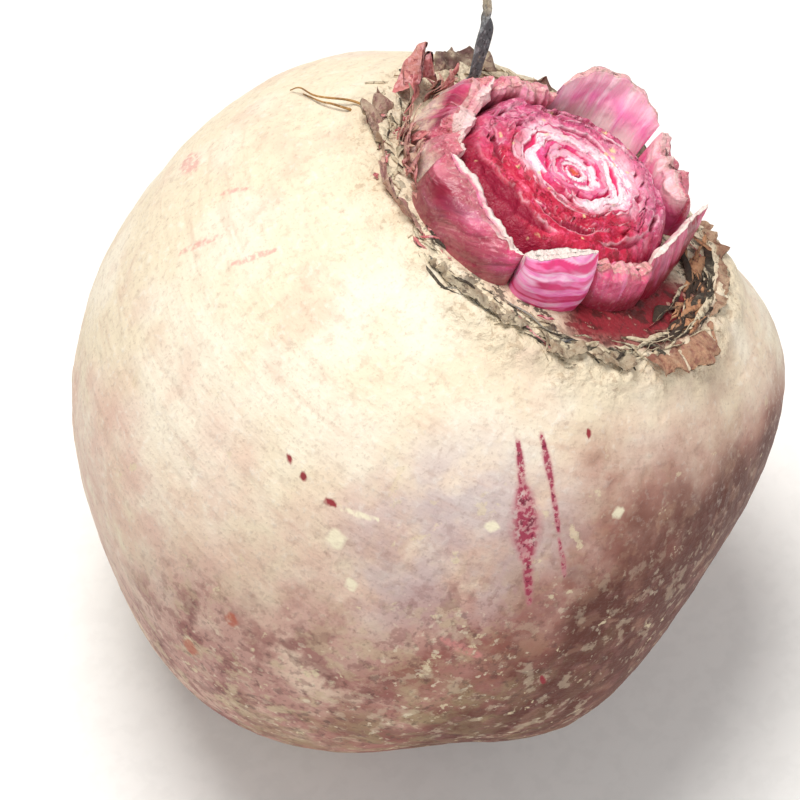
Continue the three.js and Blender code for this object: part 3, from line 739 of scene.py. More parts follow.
def stroke_mask(strokes, around, polar):
    """Nearness to the strokes: 1 on a stroke, 0.5 at its edge, 0 at twice that distance. It is
    the distance to a straight line on the unrolled skin, over a half width that tapers to both
    ends."""
    mask = np.zeros_like(around)
    for *ends, half in strokes:
        turns, downs = np.radians(ends).reshape(2, 2).T
        middle = turns.mean()
        unroll = lambda turn, down: vectors(np.sin(down) * (turn - middle), down) * BODY_RADIUS
        places, (start, end) = unroll(around, polar), unroll(turns, downs)
        stroke = end - start
        along = np.clip(((places - start) @ stroke) / (stroke @ stroke), 0, 1)
        away = np.hypot(*np.moveaxis(places - start - along[..., None] * stroke, -1, 0))
        width = half * (0.55 + 0.45 * np.sin(np.pi * along))
        mask = np.maximum(mask, 1 - 0.5 * away / width)
    return mask


def skin_relief(points, around, polar):
    """Fine relief in mm: pebbles, faint rings round the axis, shallow pits, and the cracked
    cork of the collar."""
    pebbles = 0.055 * rough_noise(points, 1.5, 11, 2)
    ringed = vectors(points[..., 0] * RINGED, points[..., 1] * RINGED, polar * BODY_RADIUS)
    rings = 0.07 * value_noise(ringed, 1.3, 12) + 0.10 * value_noise(ringed, 3.6, 13)
    pits = -0.16 * smooth(value_noise(points, 2.6, 14), 0.55, 0.8)
    cracks = 0.5 * cork_mask(around, polar) * rough_noise(points, 1.8, 15, 3)
    return pebbles + rings + pits + cracks


def cork_mask(around, polar):
    """1 on the corky collar, fading out down the shoulder at an uneven edge."""
    edge = 37.8 + 1.8 * waver(around, 3) + 1.0 * np.sin(23 * around)
    edge = edge + 2.4 * smooth(toward(around, DRAWN_DOWN), 0.2, 0.9)
    return 1 - smooth(np.degrees(polar), edge - 4, edge + 2.5)


class BEETROOT_OT_root(bpy.types.Operator):
    """Dresses the swollen root: skin, corky collar, broken tail and the grazes in its side"""

    bl_idname = "beetroot.root"
    bl_label = "Root"

    def execute(self, context):
        # The columns stand closer together on the side that has the marks.
        even = np.linspace(0, 2 * np.pi, COLUMNS, endpoint=False)[None, :]
        around = even - 0.35 * np.sin(even - math.radians(MARKED_SIDE))
        # The flat seat under the stalks.
        seat_share = np.array([0.35, 0.65, 0.9, 1.0])[:, None]
        seat = cylindrical(seat_share * SEAT_RADIUS, around, SEAT_HEIGHT)
        # The skin, with its rows closer together near the collar.
        first = math.atan2(SEAT_RADIUS + 0.5, SEAT_HEIGHT)
        share = np.linspace(0, 1, SKIN_ROWS)[:, None]
        polar = first + (np.radians(TAIL_START_POLAR) - first) * share**1.15
        turn, polar = np.broadcast_arrays(around, polar)
        plain = over_skin(turn, polar, 0)
        side = over_skin(turn, polar, skin_relief(plain, turn, polar))
        # The stub of tap root, tapering to where it broke off.
        tail_share = np.linspace(0, 1, TAIL_ROWS)[1:, None]
        radius, height = np.hypot(side[-1, :, 0], side[-1, :, 1]), side[-1, :, 2]
        radius = radius + (TAIL_END_RADIUS - radius) * tail_share**0.6
        tail = cylindrical(radius, around, height + (-TAIL_END_DEPTH - height) * tail_share)
        tail += 0.12 * rough_noise(tail, 1.2, 21, 2)[..., None] * np.array([1, 1, 0])
        broken = cylindrical(np.array([[2.4], [1.2]]), around, -TAIL_END_DEPTH - 0.2)
        broken[..., 2] += 0.35 * rough_noise(broken, 1.1, 22, 2)
        rings = np.concatenate([seat, side, tail, broken])
        top, bottom = (0, 0, SEAT_HEIGHT), (0, 0, -TAIL_END_DEPTH - 0.3)
        points, faces = closed_rings(rings, top, bottom)
        points = above_floor(points)

        reach = np.linalg.norm(points, axis=1)
        polar = np.arccos(np.clip(points[:, 2] / reach, -1, 1))
        turn = np.arctan2(points[:, 1], points[:, 0]) % (2 * np.pi)
        lying = (points / reach[:, None]) @ LYING.T
        weathered, shadow_facing, aside, low_back = (
            lying @ np.array(facing) + widened + height * rough_noise(points, cell, seed, octaves)
            for facing, widened, height, cell, seed, octaves in PATCHES
        )
        aside, low_back = smooth(aside, 0.76, 0.96), smooth(low_back, 0.5, 0.95)
        by_tail = smooth(polar + 0.12 * rough_noise(points, 9, 36, 4), 2.45, 2.95)
        crown = polar < 1
        on_seat = smooth(reach * np.sin(polar), SEAT_RADIUS + 1.4, SEAT_RADIUS - 0.6) * crown
        under_stalks = smooth(polar, math.radians(34.5), math.radians(31)) * crown
        bare = smooth(toward(turn, BARE), 0.72, 0.88)
        broken_end = smooth(-points[:, 2], TAIL_END_DEPTH - 0.4, TAIL_END_DEPTH)
        lilac = direction(turn, polar) @ direction(*np.radians(LILAC_SPOT))
        attributes = {
            "blushed": largest(smooth(weathered, -0.1, 0.5), 0.85 * aside, low_back),
            # The upper side, where the painted glints are.
            "clean": 1 - smooth(weathered, 0.0, 0.55),
            "lilac": smooth(lilac, 0.9, 0.985),
            "mauve": largest(smooth(weathered, 0.1, 0.8), 0.55 * by_tail, 0.6 * low_back),
            # The painted shadow low at the right, and where it is deepest.
            "bruise": smooth(shadow_facing, 0.40, 0.66),
            "deep_bruise": smooth(shadow_facing, 0.56, 0.79),
            "dusty": largest(smooth(weathered, 0.66, 0.95), by_tail, 0.5 * low_back**2),
            "cork": largest(cork_mask(turn, polar), on_seat * (1 - bare)) * crown,
            "shadow": under_stalks * (0.6 + 0.4 * toward(turn, SHADED)),
            # Bare flesh, painted darker as shade in the hollow.
            "flesh": largest(on_seat * bare, 0.6 * broken_end),
        }
        attributes |= {kind: stroke_mask(strokes, turn, polar) for kind, strokes in MARKS.items()}
        finish = corky_skin(context.scene.beetroot_skin)
        make_piece("beet_root", (points, faces), finish, ["root"], attributes)
        return {"FINISHED"}


def heart_edge(around):
    """Distance from the axis to the edge of the heart: a wavering circle with bulges, each one
    an exponential of the cosine of the angle to its middle."""
    edge = HEART_RADIUS * (1 + 0.02 * waver(around, 5))
    for heading, rise in HEART_BULGES:
        edge = edge + rise * np.exp(5 * (toward(around, heading) - 1))
    return edge


def from_growing_point(radius, around):
    """Distance and angle from the growing point, which stands off the axis. The shift fades out
    towards the edge of the heart as a parabola."""
    point = cylindrical(GROWING_POINT[1], math.radians(GROWING_POINT[0]), 0)
    fade = 1 - np.minimum(radius / HEART_RADIUS, 1) ** 2
    away = cylindrical(radius, around, 0) - point * fade[..., None]
    return np.hypot(away[..., 0], away[..., 1]), np.arctan2(away[..., 1], away[..., 0])


def heart_face(radius, around):
    """The cut ends of the young stalks. Each one is a crescent round the growing point, the next
    one stands further out and is turned by LEAF_TURN. A point belongs to the crescent in whose
    middle it lies best: 1 on the middle line, falling as a parabola to 0 at both sides, with a
    width that closes to nothing at both tips. Returns that value, and the crescent's own tint
    and level at each point."""
    place = cylindrical(radius, around, 0)
    radius, around = from_growing_point(radius, around)
    radius = radius + 0.55 * rough_noise(place, 3.4, 46, 3) * smooth(radius, 0.8, 4)
    around = around + 0.30 * value_noise(place, 5.0, 47)
    shape = np.broadcast(radius, around).shape
    best, tint, level = np.full(shape, -2.0), np.zeros(shape), np.zeros(shape)
    pick = np.random.default_rng(5)
    for leaf in range(HEART_LEAVES):
        share = leaf / (HEART_LEAVES - 1)
        turn = (around - math.radians(leaf * LEAF_TURN) + np.pi) % (2 * np.pi) - np.pi
        reach = math.radians((118 - 68 * share) * pick.uniform(0.85, 1.2))
        aside = np.clip(1 - (turn / reach) ** 2, 0.02, 1)
        ripple = (0.05 + 0.22 * share) * np.sin(6 * around + 2.6 * leaf)
        ripple = ripple + (0.04 + 0.12 * share) * np.sin(15 * around + 4.7 * leaf)
        drawn_in = pick.uniform(0.74, 0.9)
        middle = (0.55 + 13.4 * share**1.1) * (drawn_in + (1 - drawn_in) * aside) + ripple
        half = (0.3 + 0.95 * share) * pick.uniform(0.8, 1.3) * np.sqrt(aside)
        inside = 1 - ((radius - middle) / half) ** 2
        mine = inside > best
        best = np.where(mine, inside, best)
        tint = np.where(mine, pick.uniform(0, 1), tint)
        level = np.where(mine, pick.uniform(-1, 1) * (0.12 + 0.4 * share), level)
    return np.maximum(best, -1), tint, level


class BEETROOT_OT_heart(bpy.types.Operator):
    """Dresses the bundle of young stalks, cut flush: crescents round the growing point"""

    bl_idname = "beetroot.heart"
    bl_label = "Cut heart"

    def execute(self, context):
        around = np.linspace(0, 2 * np.pi, COLUMNS, endpoint=False)[None, :]
        share = np.linspace(0, 1, HEART_ROWS)[1:, None]
        radius = share * heart_edge(around)
        inside, tint, level = heart_face(radius, around)
        raised = smooth(inside, -0.15, 0.35)
        fall = 0.5 * share**2 + 1.1 * smooth(share, 0.66, 1.0)
        face = cylindrical(radius, around, HEART_TOP + 0.1 - fall)
        fibrous = rough_noise(face, 1.1, 41, 3)
        raised = (0.34 + 0.35 * share + level) * raised
        face[..., 2] += raised + 0.26 * fibrous * (0.15 + 0.85 * share)
        # The skirt: the wall of the bundle, flaring down to the seat.
        skirt_share = np.linspace(0, 1, SKIRT_ROWS)[1:, None]
        skirt_radius = heart_edge(around) + 3.0 * skirt_share**0.8
        edge_height = face[-1, :, 2]
        drop = (edge_height - SEAT_HEIGHT - 0.5) * skirt_share**1.3
        skirt = cylindrical(skirt_radius, around, edge_height - drop)
        skirt[..., 2] += 0.25 * rough_noise(skirt, 2.2, 42, 3)
        rings = np.concatenate([face, skirt])
        top = (0, 0, face[0, :, 2].mean())
        points, faces = closed_rings(rings, top, (0, 0, SEAT_HEIGHT + 0.3))

        out = np.hypot(points[:, 0], points[:, 1])
        turned = np.arctan2(points[:, 1], points[:, 0])
        from_point = from_growing_point(out, turned)[0]
        spread = lambda values: np.append(
            np.concatenate([values, np.zeros(skirt.shape[:2])]), [values[0].mean(), 0]
        )
        blotch = rough_noise(points, 3.0, 43, 3)
        # The bright middle is drawn out to two sides.
        bright = 1.6 * np.cos(2 * (turned - math.radians(BRIGHT_AROUND)))
        inner = 1 - smooth(out - bright + 1.7 * blotch, 5.6, 9.8)
        body = spread(smooth(inside, 0.0, 0.5))
        crease = spread(1 - smooth(inside, -0.3, 0.25))
        rim_line = spread(smooth(inside, 0.0, 0.2) * (1 - smooth(inside, 0.3, 0.6)))
        tinted = spread(tint)
        reddened = smooth(toward(turned, RED_AROUND) + 0.3 * blotch, -0.1, 0.6)
        attributes = {
            "pale": np.clip(body * (1.35 * tinted - 0.05) * inner + 0.8 * rim_line * tinted, 0, 1),
            "vein": np.clip(crease * inner, 0, 1),
            "line": np.clip(crease * (1 - inner) + 0.9 * smooth(out, 13.6, 15), 0, 1),
            "rim": (1 - inner) * (1 - 0.35 * tinted) * (1 - 0.6 * reddened),
            "red": (1 - inner) * reddened,
            "tan": 0.9 * smooth(rough_noise(points, 1.3, 44, 2), 0.86, 0.98) * smooth(out, 4, 8),
            "bud": 1 - smooth(from_point + 0.3 * rough_noise(points, 0.7, 48, 2), 0.5, 1.1),
        }
        finish = cut_heart_flesh(context.scene.beetroot_crown)
        make_piece(
            "cut_heart", (points, faces), finish, ["stalk_heart"], attributes
        )
        return {"FINISHED"}


def band(steps):
    """The section of a band, once round: how far along it each corner lies, from -1 to 1, which
    side of the middle line it is on, and how thick the band is there, a power curve that falls
    to nothing at both ends."""
    outer_side = -np.cos(np.pi * np.arange(steps + 1) / steps)
    across = np.concatenate([outer_side, outer_side[-2:0:-1]])[None, :]
    side = np.concatenate([np.ones(steps + 1), -np.ones(steps - 1)])[None, :]
    return across, side, np.maximum(1 - np.abs(across) ** 4, 0) ** 0.5


def bowed_line(ends, bow, across):
    """A line in plan from one end to the other, bowed outward as a parabola, and the direction
    out of it at each point. The ends are (around, distance to the axis)."""
    (start_around, start_out), (end_around, end_out) = ends
    start = cylindrical(start_out, math.radians(start_around), 0)
    end = cylindrical(end_out, math.radians(end_around), 0)
    half = (end - start) / 2
    outward = np.array([half[1], -half[0], 0]) / np.hypot(half[0], half[1])
    across = across[..., None]
    line = (start + end) / 2 + half * across + outward * bow * (1 - across**2)
    tangent = half - 2 * bow * across * outward
    normal = vectors(tangent[..., 1], -tangent[..., 0], 0)
    return line, normal / np.linalg.norm(normal, axis=-1, keepdims=True)


def stalk_surface(stalk, seed):
    """One stub. Its section is a bowed band: an outer and an inner side either side of a middle
    line, whose distance falls to nothing at both ends as a power curve. The line is carried up
    from foot to rim, and rows of shrinking thickness close the cut end. Noise that is drawn out
    along the fibres raises them. Returns the loops and the values that the material reads."""
    stalk = defaultdict(float, stalk)
    across, side, thinned = band(STALK_STEPS)
    wall = np.linspace(0, 1, STALK_ROWS)
    cap = np.linspace(0, 0.995, CUT_ROWS)[1:]
    up = np.concatenate([wall, np.ones(cap.size)])[:, None]
    shrink = np.concatenate([np.zeros(wall.size), cap])[:, None]
    # The band runs on a little past both ends of its middle line.
    across, side, up, shrink = np.broadcast_arrays(1.06 * across, side, up, shrink)

    foot_line, foot_normal = bowed_line(stalk["foot"], stalk["foot_bow"], across)
    rim_line, rim_normal = bowed_line(stalk["rim"], stalk["rim_bow"], across)
    centre = foot_line + (rim_line - foot_line) * up[..., None]
    normal = foot_normal + (rim_normal - foot_normal) * up[..., None]
    from_start = (across + 1) / 2
    thin = stalk["thin"][0] + (stalk["thin"][1] - stalk["thin"][0]) * from_start
    half = 0.5 * (stalk["thick"] + (thin - stalk["thick"]) * up**1.3) * thinned
    rounding = 1 - 0.35 * smooth(up, 0.86, 1.0)
    bulge = stalk["bulge"] * 4 * up * (1 - up) * (side > 0)
    offset = (side * half * rounding + bulge) * (1 - shrink)
    points = centre + normal * offset[..., None]

    edge = vectors(centre[..., 0], centre[..., 1], 3.7 * seed)
    jagged = rough_noise(edge, 2.2, 50 + seed, 4)
    rise = stalk["tall"][0] + (stalk["tall"][1] - stalk["tall"][0]) * from_start
    rise = rise + stalk["arch"] * (1 - across**2) + stalk["ragged"] * jagged
    for where, half_width, depth in stalk["notches"] or ():
        rise = rise - depth * np.exp(-(((across - where) / half_width) ** 2))
    points[..., 2] = SEAT_HEIGHT - 0.8 + up * (rise + 1.1)

    # The fibres: distances along and across them, on each side of the wall.
    length = np.linalg.norm(foot_line[0, 0] - foot_line[0, STALK_STEPS]) / 2
    angle = math.radians(stalk["grain"])
    sideways, upward = across * length, up * rise + offset * shrink
    along = upward * math.cos(angle) + sideways * math.sin(angle)
    beside = sideways * math.cos(angle) - upward * math.sin(angle)
    bend = 0.7 * value_noise(points, 4.5, 80 + seed)
    grain = vectors(beside + bend, 0.16 * along, 9.3 * seed + 2.0 * side)
    fibre = rough_noise(grain, 1.25, 81 + seed, 3)
    open_wall = thinned * (1 - shrink)
    torn_open = smooth(rough_noise(points, 3.4, 120 + seed, 3), -0.4, 0.2) * (0.15 + 0.85 * up**2)
    torn_open = stalk["shredded"] * torn_open * np.where(side > 0, 1.0, 0.6)
    crumple = (0.25 + 0.35 * torn_open) * rough_noise(points, 2.8, 60 + seed, 3) * (0.3 + up)
    crumple = crumple - 0.9 * torn_open * smooth(-fibre, 0.0, 0.6)
    raised = (crumple + 0.2 * stalk["rough"] * fibre * (0.4 + 0.6 * up)) * open_wall
    points = points + normal * (side * raised)[..., None]
    torn = smooth(up, 0.9, 1.0) * (0.25 + 0.4 * stalk["rough"])
    edge = vectors(centre[..., 0], centre[..., 1], 5.9 * seed)
    points[..., 2] += torn * (0.45 * rough_noise(edge, 0.9, 70 + seed, 3) + 0.3 * fibre * open_wall)

    on_outer = side > 0
    at_cut = smooth(shrink, 0.0, 0.12)
    near_rim = smooth(up, 0.80, 0.99)
    wide_rim = smooth(thin, 2.8, 4.4)
    inner_edge = np.maximum(smooth(up, 0.6, 0.85), at_cut)
    inner_edge = np.where(on_outer, at_cut * (1 - wide_rim), inner_edge)
    inner_edge = inner_edge * (1 - wide_rim * smooth(shrink, 0.45, 0.8))
    stripes = 0.5 + 0.5 * np.cos(2 * np.pi * 0.62 * (beside + 0.5 * bend))
    stripes = smooth(stripes, 0.45, 0.75) * (stalk["grain"] > 80)
    on_ridge = smooth(fibre, 0.1, 0.7)
    husk = stalk["husk"] * on_outer * (1 - smooth(up + 0.15 * fibre, 0.35, 0.75))
    # A white painted highlight low on the inner side.
    glow = stalk["glow"] * ~on_outer * (1 - smooth(up + 0.12 * fibre, 0.35, 0.8))
    # A patch of painted shade on the outer side near the start of the stalk.
    shade_patch = np.exp(-(((across + 0.4) / 0.38) ** 2)) * smooth(up + 0.1 * bend, 0.35, 0.6) * on_outer
    # Painted shade low down the stalk, in dark crimson.
    painted_shade_low = 1 - smooth(up + 0.12 * fibre, 0.35, 0.75)
    dried = largest(at_cut, 0.55 * near_rim * stalk["tan"]) * (1 - 0.5 * stalk["plum"])
    values = {
        "pale": np.where(
            on_outer,
            stalk["stripe"] * np.maximum(on_ridge, stripes),
            0.5 * on_ridge + 0.2 + 0.5 * stalk["stripe"],
        ),
        "plum": stalk["plum"] * (0.35 + 0.65 * on_outer) * (1 - 0.4 * near_rim),
        # Dark crimson: the colour between the fibres, with painted shade low down and in one patch.
        "crimson": largest(
            stalk["crimson"] * painted_shade_low,
            0.9 * stalk["crimson"] * smooth(-fibre, 0.25, 0.8),
            stalk["shade_patch"] * shade_patch,
        ),
        "cut": np.maximum(dried, torn_open),
        "tan": largest(stalk["tan"] * largest(0.7 * at_cut, smooth(up, 0.88, 1.0)), husk),
        # Cream inner edge and husk, with the painted highlight at the inner foot.
        "cream": largest(stalk["cream"] * inner_edge, 0.6 * husk, glow),
    }
    values = {name: np.clip(value, 0, 1) for name, value in values.items()}
    return points, values | {"grain": grain}


class BEETROOT_OT_leaf_stalks(bpy.types.Operator):
    """Dresses the stubs of the older leaf stalks that stand round the heart"""

    bl_idname = "beetroot.leaf_stalks"
    bl_label = "Leaf stalks"

    def execute(self, context):
        finish = stalk_flesh(context.scene.beetroot_crown)
        for index, stalk in enumerate(LEAF_STALKS):
            points, values = stalk_surface(stalk, index)
            name, loops = f"leaf_stalk_{index + 1}", closed_loops(points[None])
            make_piece(f"cut_{name}", loops, finish, [name], values)
        return {"FINISHED"}


def dry_values(shape, **given):
    """How dark, crimson, red-brown and grey a dry piece is at each point, from 0 to 1."""
    names = ("shade", "blush", "warm", "ashen")
    return {name: np.clip(np.broadcast_to(given.get(name, 0), shape), 0, 1) for name in names}


def dry_base_surface(base, seed):
    """One dead leaf base: a sheet over the skin between an outer and an inner side, lifted from
    its foot to a torn edge, and curled outward by its splay. The torn edge is a row of uneven
    teeth, and noise crumples the sheet."""
    base = defaultdict(float, base)
    across, side, thinned = band(DRY_BASE_STEPS)
    up = np.linspace(0, 1, DRY_BASE_ROWS)[:, None]
    turn = np.radians(base["around"] + base["spread"] * across * (1.05 - 0.25 * up))
    edge = vectors(turn * COLLAR_RADIUS, 0, 5.1 * seed)
    shifted = across + 0.25 * value_noise(edge, 3.0, 95 + seed)
    tooth = np.abs(np.sin(base["teeth"] * np.pi * (shifted + 1) / 2)) ** 1.2
    jagged = 0.75 + 0.25 * waver(turn, seed) + 0.5 * rough_noise(edge, 1.6, 90 + seed, 4)
    lift = up * base["tall"] * (1 - base["torn"] + base["torn"] * tooth) * jagged - 0.25
    crumple = vectors(turn * COLLAR_RADIUS, up * base["tall"], 7.7 * seed)
    crumple = rough_noise(crumple, 2.4, 100 + seed, 3)
    wave = 0.5 * np.sin(3 * across + seed) + (0.3 + 1.1 * up) * crumple
    lean = (base["polar"] or DRY_BASE_POLAR) + base["splay"] * up**2 + wave
    half_degrees = np.degrees(0.5 * 0.35 / BODY_RADIUS) * thinned * (1 - 0.55 * up)
    points = over_skin(turn, np.radians(lean + side * half_degrees), lift)
    mottled = 0.7 + 0.8 * rough_noise(points, 1.6, 110 + seed, 2)
    # The inner side of the sheet is painted darker, as shade.
    return points, dry_values(
        lift.shape,
        shade=base["shade"] * mottled + 0.35 * (side < 0),
        blush=base["blush"] * (1 - 0.3 * up) * np.where(side > 0, 0.9, 1.0),
        warm=base["warm"],
    )


def withered_surface():
    """The withered stalk: an oval carried along its bends, its long way across turned by the
    twist, with both edges rolled in as a parabola and noise that shrivels it."""
    around, out, up, wide, turned = along_bends(WITHERED_STALK, STRAP_ROWS).T
    centre = cylindrical(out, np.radians(around), SEAT_HEIGHT + up)
    forward = np.gradient(centre, axis=0)
    forward /= np.linalg.norm(forward, axis=-1, keepdims=True)
    side = np.cross(forward, cylindrical(1.0, np.radians(around), 0))
    side /= np.linalg.norm(side, axis=-1, keepdims=True)
    twist = np.radians(turned)[:, None]
    side = side * np.cos(twist) + np.cross(forward, side) * np.sin(twist)
    through = np.cross(forward, side)
    angle = np.linspace(0, 2 * np.pi, STRAP_COLUMNS, endpoint=False)[None, :]
    width = 0.5 * wide[:, None] * np.cos(angle)
    depth = 0.28 * np.sin(angle) + 0.22 * (width**2 - 0.5)
    shrivel = vectors(width * 2, np.arange(STRAP_ROWS)[:, None] * 0.09, 0)
    depth = depth + 0.22 * rough_noise(shrivel, 1.1, 130, 3)
    return centre[:, None] + width[..., None] * side[:, None] + depth[..., None] * through[:, None]


# The four corners of a flat strip's section: which side, and top or bottom.
STRIP_ACROSS = np.array([1, -1, -1, 1])
STRIP_UP = np.array([1, 1, -1, -1])


class BEETROOT_OT_dry_leaf_bases(bpy.types.Operator):
    """Dresses the dead leaf bases, the withered stalk and the shreds round the stalks"""

    bl_idname = "beetroot.dry_leaf_bases"
    bl_label = "Dry leaf bases"

    def execute(self, context):
        finish = papery_leaf(context.scene.beetroot_crown)
        for index, base in enumerate(DRY_LEAF_BASES):
            points, values = dry_base_surface(base, index)
            name, loops = f"dry_leaf_base_{index + 1}", closed_loops(points[None])
            make_piece(f"papery_{name}", loops, finish, [name], values)
        points = withered_surface()
        rows = np.linspace(0, 1, len(points))[:, None]
        fold = np.exp(-(((rows - 0.52) / 0.06) ** 2))
        values = dry_values(points.shape[:2], shade=0.3 * fold, ashen=1 - 0.8 * fold)
        loops = closed_loops(points[None])
        make_piece("withered_strap", loops, finish, ["withered_stalk"], values)
        self.add_shreds(context, finish)
        self.add_stalk_shreds(context, finish)
        return {"FINISHED"}

    def add_shreds(self, context, finish):
        """Narrow curled shreds that lie round the collar: each is a flat strip along a slightly
        arched line over the skin, pointed at both ends. They are longer and lie more level on
        the two sides where the collar is split, and darker on one of them."""
        count = context.scene.beetroot_trim.shreds
        pick = np.random.default_rng(7)
        draw = lambda low, high: pick.uniform(low, high, (count, 1, 1))
        along = np.linspace(-1, 1, SHRED_ROWS)[None, :, None]
        start_around = draw(0, 360)
        near = lambda heading: np.cos(np.radians(start_around - heading))
        dark_split = smooth(near(DARK_SPLIT), 0.72, 0.9)
        pale_split = smooth(near(PALE_SPLIT), 0.7, 0.88)
        level = np.maximum(dark_split, pale_split)
        start_polar = 28.8 + 5.6 * pick.beta(2.4, 2.2, (count, 1, 1))
        start_polar = start_polar + 2.5 * dark_split * draw(0, 1)
        in_hollow = draw(0, 1) < 0.85 * smooth(near(HOLLOW), 0.72, 0.92)
        start_polar = np.where(in_hollow, draw(25, 31.5), start_polar)
        heading = np.radians(pick.normal(0, 34, (count, 1, 1)) * (1 - 0.65 * level))
        half_length = (0.5 + 1.6 * draw(0, 1) ** 2) * (1 + 0.9 * dark_split + 1.5 * pale_split)
        half_width = draw(0.05, 0.34) * (1 - 0.8 * along**2) * np.where(in_hollow, draw(1, 3), 1)
        curl = draw(-0.8, 1.0) * half_length / 2
        level_share, down_share = np.cos(heading), np.sin(heading)
        sideways = along * half_length * level_share - STRIP_ACROSS * half_width * down_share
        downward = along * half_length * down_share + STRIP_ACROSS * half_width * level_share
        downward = downward + curl * along**2 + 0.12 * np.sin(5 * along + draw(0, 6))
        polar = np.radians(start_polar) + downward / BODY_RADIUS
        out = BODY_RADIUS * np.sin(np.radians(start_polar))
        around = np.radians(start_around) + sideways / out
        arch = draw(0.02, 0.35) * (1 - along**2) + draw(-0.2, 0.6) * np.maximum(0, along) ** 3
        lift = 0.02 + arch + 0.03 * STRIP_UP + draw(-0.15, 0.15) * STRIP_ACROSS
        places = over_skin(around, polar, lift)
        places[..., 2] = np.minimum(places[..., 2], SEAT_HEIGHT + 0.2 + lift)
        dark = draw(0, 1) < 0.10 + 0.26 * dark_split + 0.1 * pale_split + 0.2 * in_hollow
        pinkish = draw(0, 1) < 0.05 + 0.2 * smooth(near(PINKISH), 0.7, 0.9)
        values = dry_values(
            lift.shape,
            shade=np.where(dark, 1.0, draw(0, 0.16)),
            blush=0.8 * pinkish,
            ashen=0.6 * (draw(0, 1) < 0.12 * dark_split),
            warm=in_hollow & (draw(0, 1) < 0.75),
        )
        make_piece("collar_shreds", closed_loops(places), finish, (), values)

    def add_stalk_shreds(self, context, finish):
        """Torn skin that hangs outside the older stalks: flat strips that stand up from the seat
        and curl outward as a parabola of their height, pointed at the top."""
        count = context.scene.beetroot_trim.stalk_shreds
        pick = np.random.default_rng(19)
        draw = lambda low, high: pick.uniform(low, high, (count, 1, 1))
        up = np.linspace(0, 1, SHRED_ROWS)[None, :, None]
        around = draw(96, 186)
        width = draw(0.35, 1.2) * (1 - up**2 * 0.8) * (1 + 0.3 * np.sin(9 * up + draw(0, 6)))
        curl = draw(-1.4, 1.8)
        out = draw(20.4, 22.6) + curl * up**2 + 0.2 * np.sin(6 * up + draw(0, 6)) + 0.06 * STRIP_UP
        tilt = draw(-2.6, 2.6)
        turn = np.radians(around) + (tilt * up + STRIP_ACROSS * width) / COLLAR_RADIUS
        height = SEAT_HEIGHT + draw(-0.6, 1.0) + up * draw(0.9, 4.2)
        places = cylindrical(out, turn, height)
        brown = draw(0, 1) < 0.08 + 0.5 * np.exp(-(((around - 126) / 8) ** 2))
        values = dry_values(
            places.shape[:3],
            shade=np.where(brown, draw(0.3, 0.9), draw(0, 0.1)),
            blush=np.where(brown, 0.0, draw(0.2, 0.9)),
        )
        make_piece("stalk_shreds", closed_loops(places), finish, (), values)


def along_bends(bends, samples):
    """Points on one smooth line through the bends: each stretch is the cubic that also looks at
    the bend before and after it, worked out in around, polar and lift."""
    bends = np.array(bends, float)
    padded = np.concatenate([[2 * bends[0] - bends[1]], bends, [2 * bends[-1] - bends[-2]]])
    place = np.linspace(0, len(bends) - 1, samples)
    stretch = np.minimum(place.astype(int), len(bends) - 2)
    t = (place - stretch)[:, None]
    before, start, end, after = (padded[stretch + k] for k in range(4))
    line = start + 0.5 * t * (end - before)
    line += t**2 * (before - 2.5 * start + 2 * end - 0.5 * after)
    line += t**3 * (1.5 * (start - end) + 0.5 * (after - before))
    return line


def strands_over_skin(lines, radius, taper):
    """Round tubes along lines of (around, polar, lift): the section is a circle in the plane of
    the outward direction and the one across the line, and it narrows towards the end."""
    around, polar, lift = np.radians(lines[..., 0]), np.radians(lines[..., 1]), lines[..., 2]
    centre = over_skin(around, polar, lift)
    outward = direction(around, polar)
    forward = np.gradient(centre, axis=1)
    sideways = np.cross(forward, outward)
    sideways /= np.linalg.norm(sideways, axis=-1, keepdims=True)
    upward = np.cross(sideways, forward)
    upward /= np.linalg.norm(upward, axis=-1, keepdims=True)
    angle = (np.arange(STRAND_COLUMNS) / STRAND_COLUMNS * 2 * np.pi)[:, None]
    size = radius * (1 - taper * np.linspace(0, 1, lines.shape[1]))[None, :, None, None]
    circle = np.cos(angle) * sideways[:, :, None] + np.sin(angle) * upward[:, :, None]
    return closed_loops(centre[:, :, None] + size * circle)


